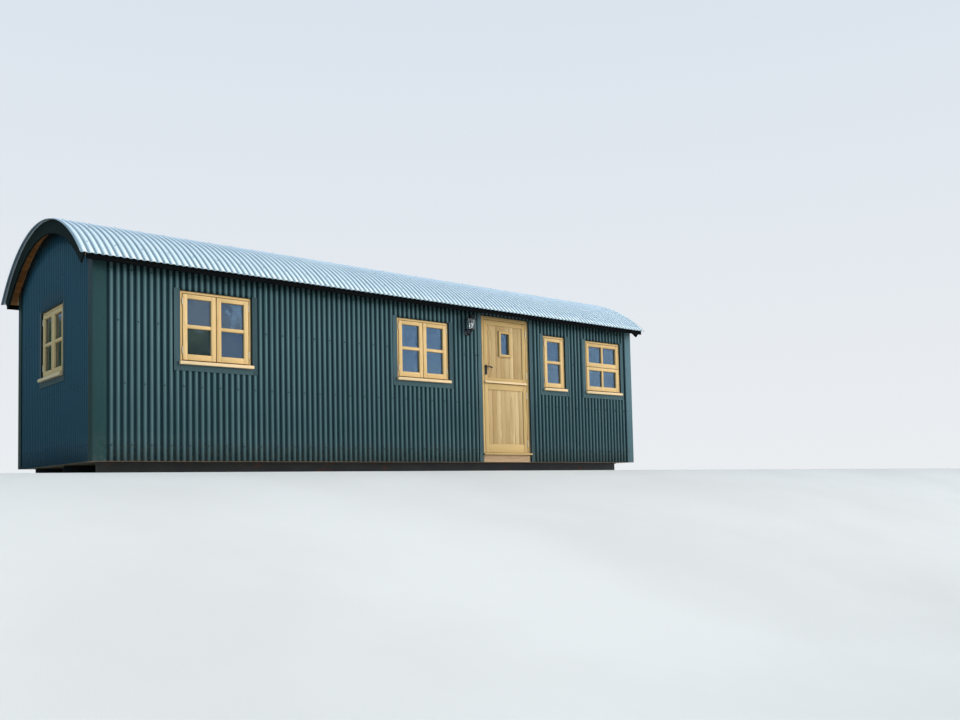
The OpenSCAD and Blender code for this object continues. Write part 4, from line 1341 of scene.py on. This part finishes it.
lever_low, lever_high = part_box("door_lever")
boss = Vector((plate_middle.x, plate_low.y, (lever_low.z + lever_high.z) / 2))
grip_r = 0.012
out = lever_low.y + grip_r - boss.y
neck = ((0, 0, 0, 0.0125), (0, -0.006, 0, 0.0125), (0, -0.010, 0, 0.0085),
        (0, out + 0.014, 0, 0.0080), (0.003, out + 0.004, 0, 0.0080), (0.011, out, -0.0005, 0.0080))
grip = ((0.006, out, 0, 0.0105), (0.022, out, -0.0010, 0.0115), (0.042, out, -0.0022, 0.0120),
        (0.062, out, -0.0050, 0.0118), (0.080, out, -0.0098, 0.0110),
        (0.092, out, -0.0148, 0.0098), (0.099, out, -0.0190, 0.0080), (0.102, out, -0.0215, 0.0050))
mesh = bmesh.new()
rod(mesh, boss, neck)
rod(mesh, boss, grip)
bmesh.ops.recalc_face_normals(mesh, faces=mesh.faces)
add_piece("curled_door_lever", mesh, "handle", black_iron, ("door_lever",), smooth=50)

# The wall lantern: black powder-coated iron on a swan neck, with a clear funnel of glass and an
# opal bulb in it.
for node in ("lantern_bracket", "lantern_body"):
    dress(node, black_iron)
lamp_glass, tree, shader, where = new_material("lantern_glass_clear")
set_inputs(tree, shader, {
    "Base Color": (0.92, 0.94, 0.95),
    "Roughness": 0.04,
    "IOR": 1.5,
    "Transmission Weight": 0.95,
})
bump(tree, shader, noise_at(tree, where, 80.0, 2.0), 0.0005)
dress("lantern_glass", lamp_glass)
opal, tree, shader, where = new_material("opal_bulb")
milky = mixed(tree, noise_at(tree, where, 40.0, 2.0), (0.78, 0.78, 0.75), (0.88, 0.88, 0.86))
set_inputs(tree, shader, {"Base Color": milky, "Roughness": 0.25})
glass_low, glass_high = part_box("lantern_glass")
bulb_foot = (glass_low + glass_high) / 2
bulb_drop = 0.001
bulb_foot.z = glass_low.z - bulb_drop
bulb = ((0.0, 0.012), (0.030, 0.012), (0.036, 0.016), (0.050, 0.024), (0.064, 0.027),
        (0.078, 0.024), (0.090, 0.014), (0.096, 0.004))
mesh = bmesh.new()
rod(mesh, bulb_foot, [(0, 0, rise, radius) for rise, radius in bulb])
bmesh.ops.recalc_face_normals(mesh, faces=mesh.faces)
add_piece("lantern_bulb", mesh, "hut", opal, smooth=50)
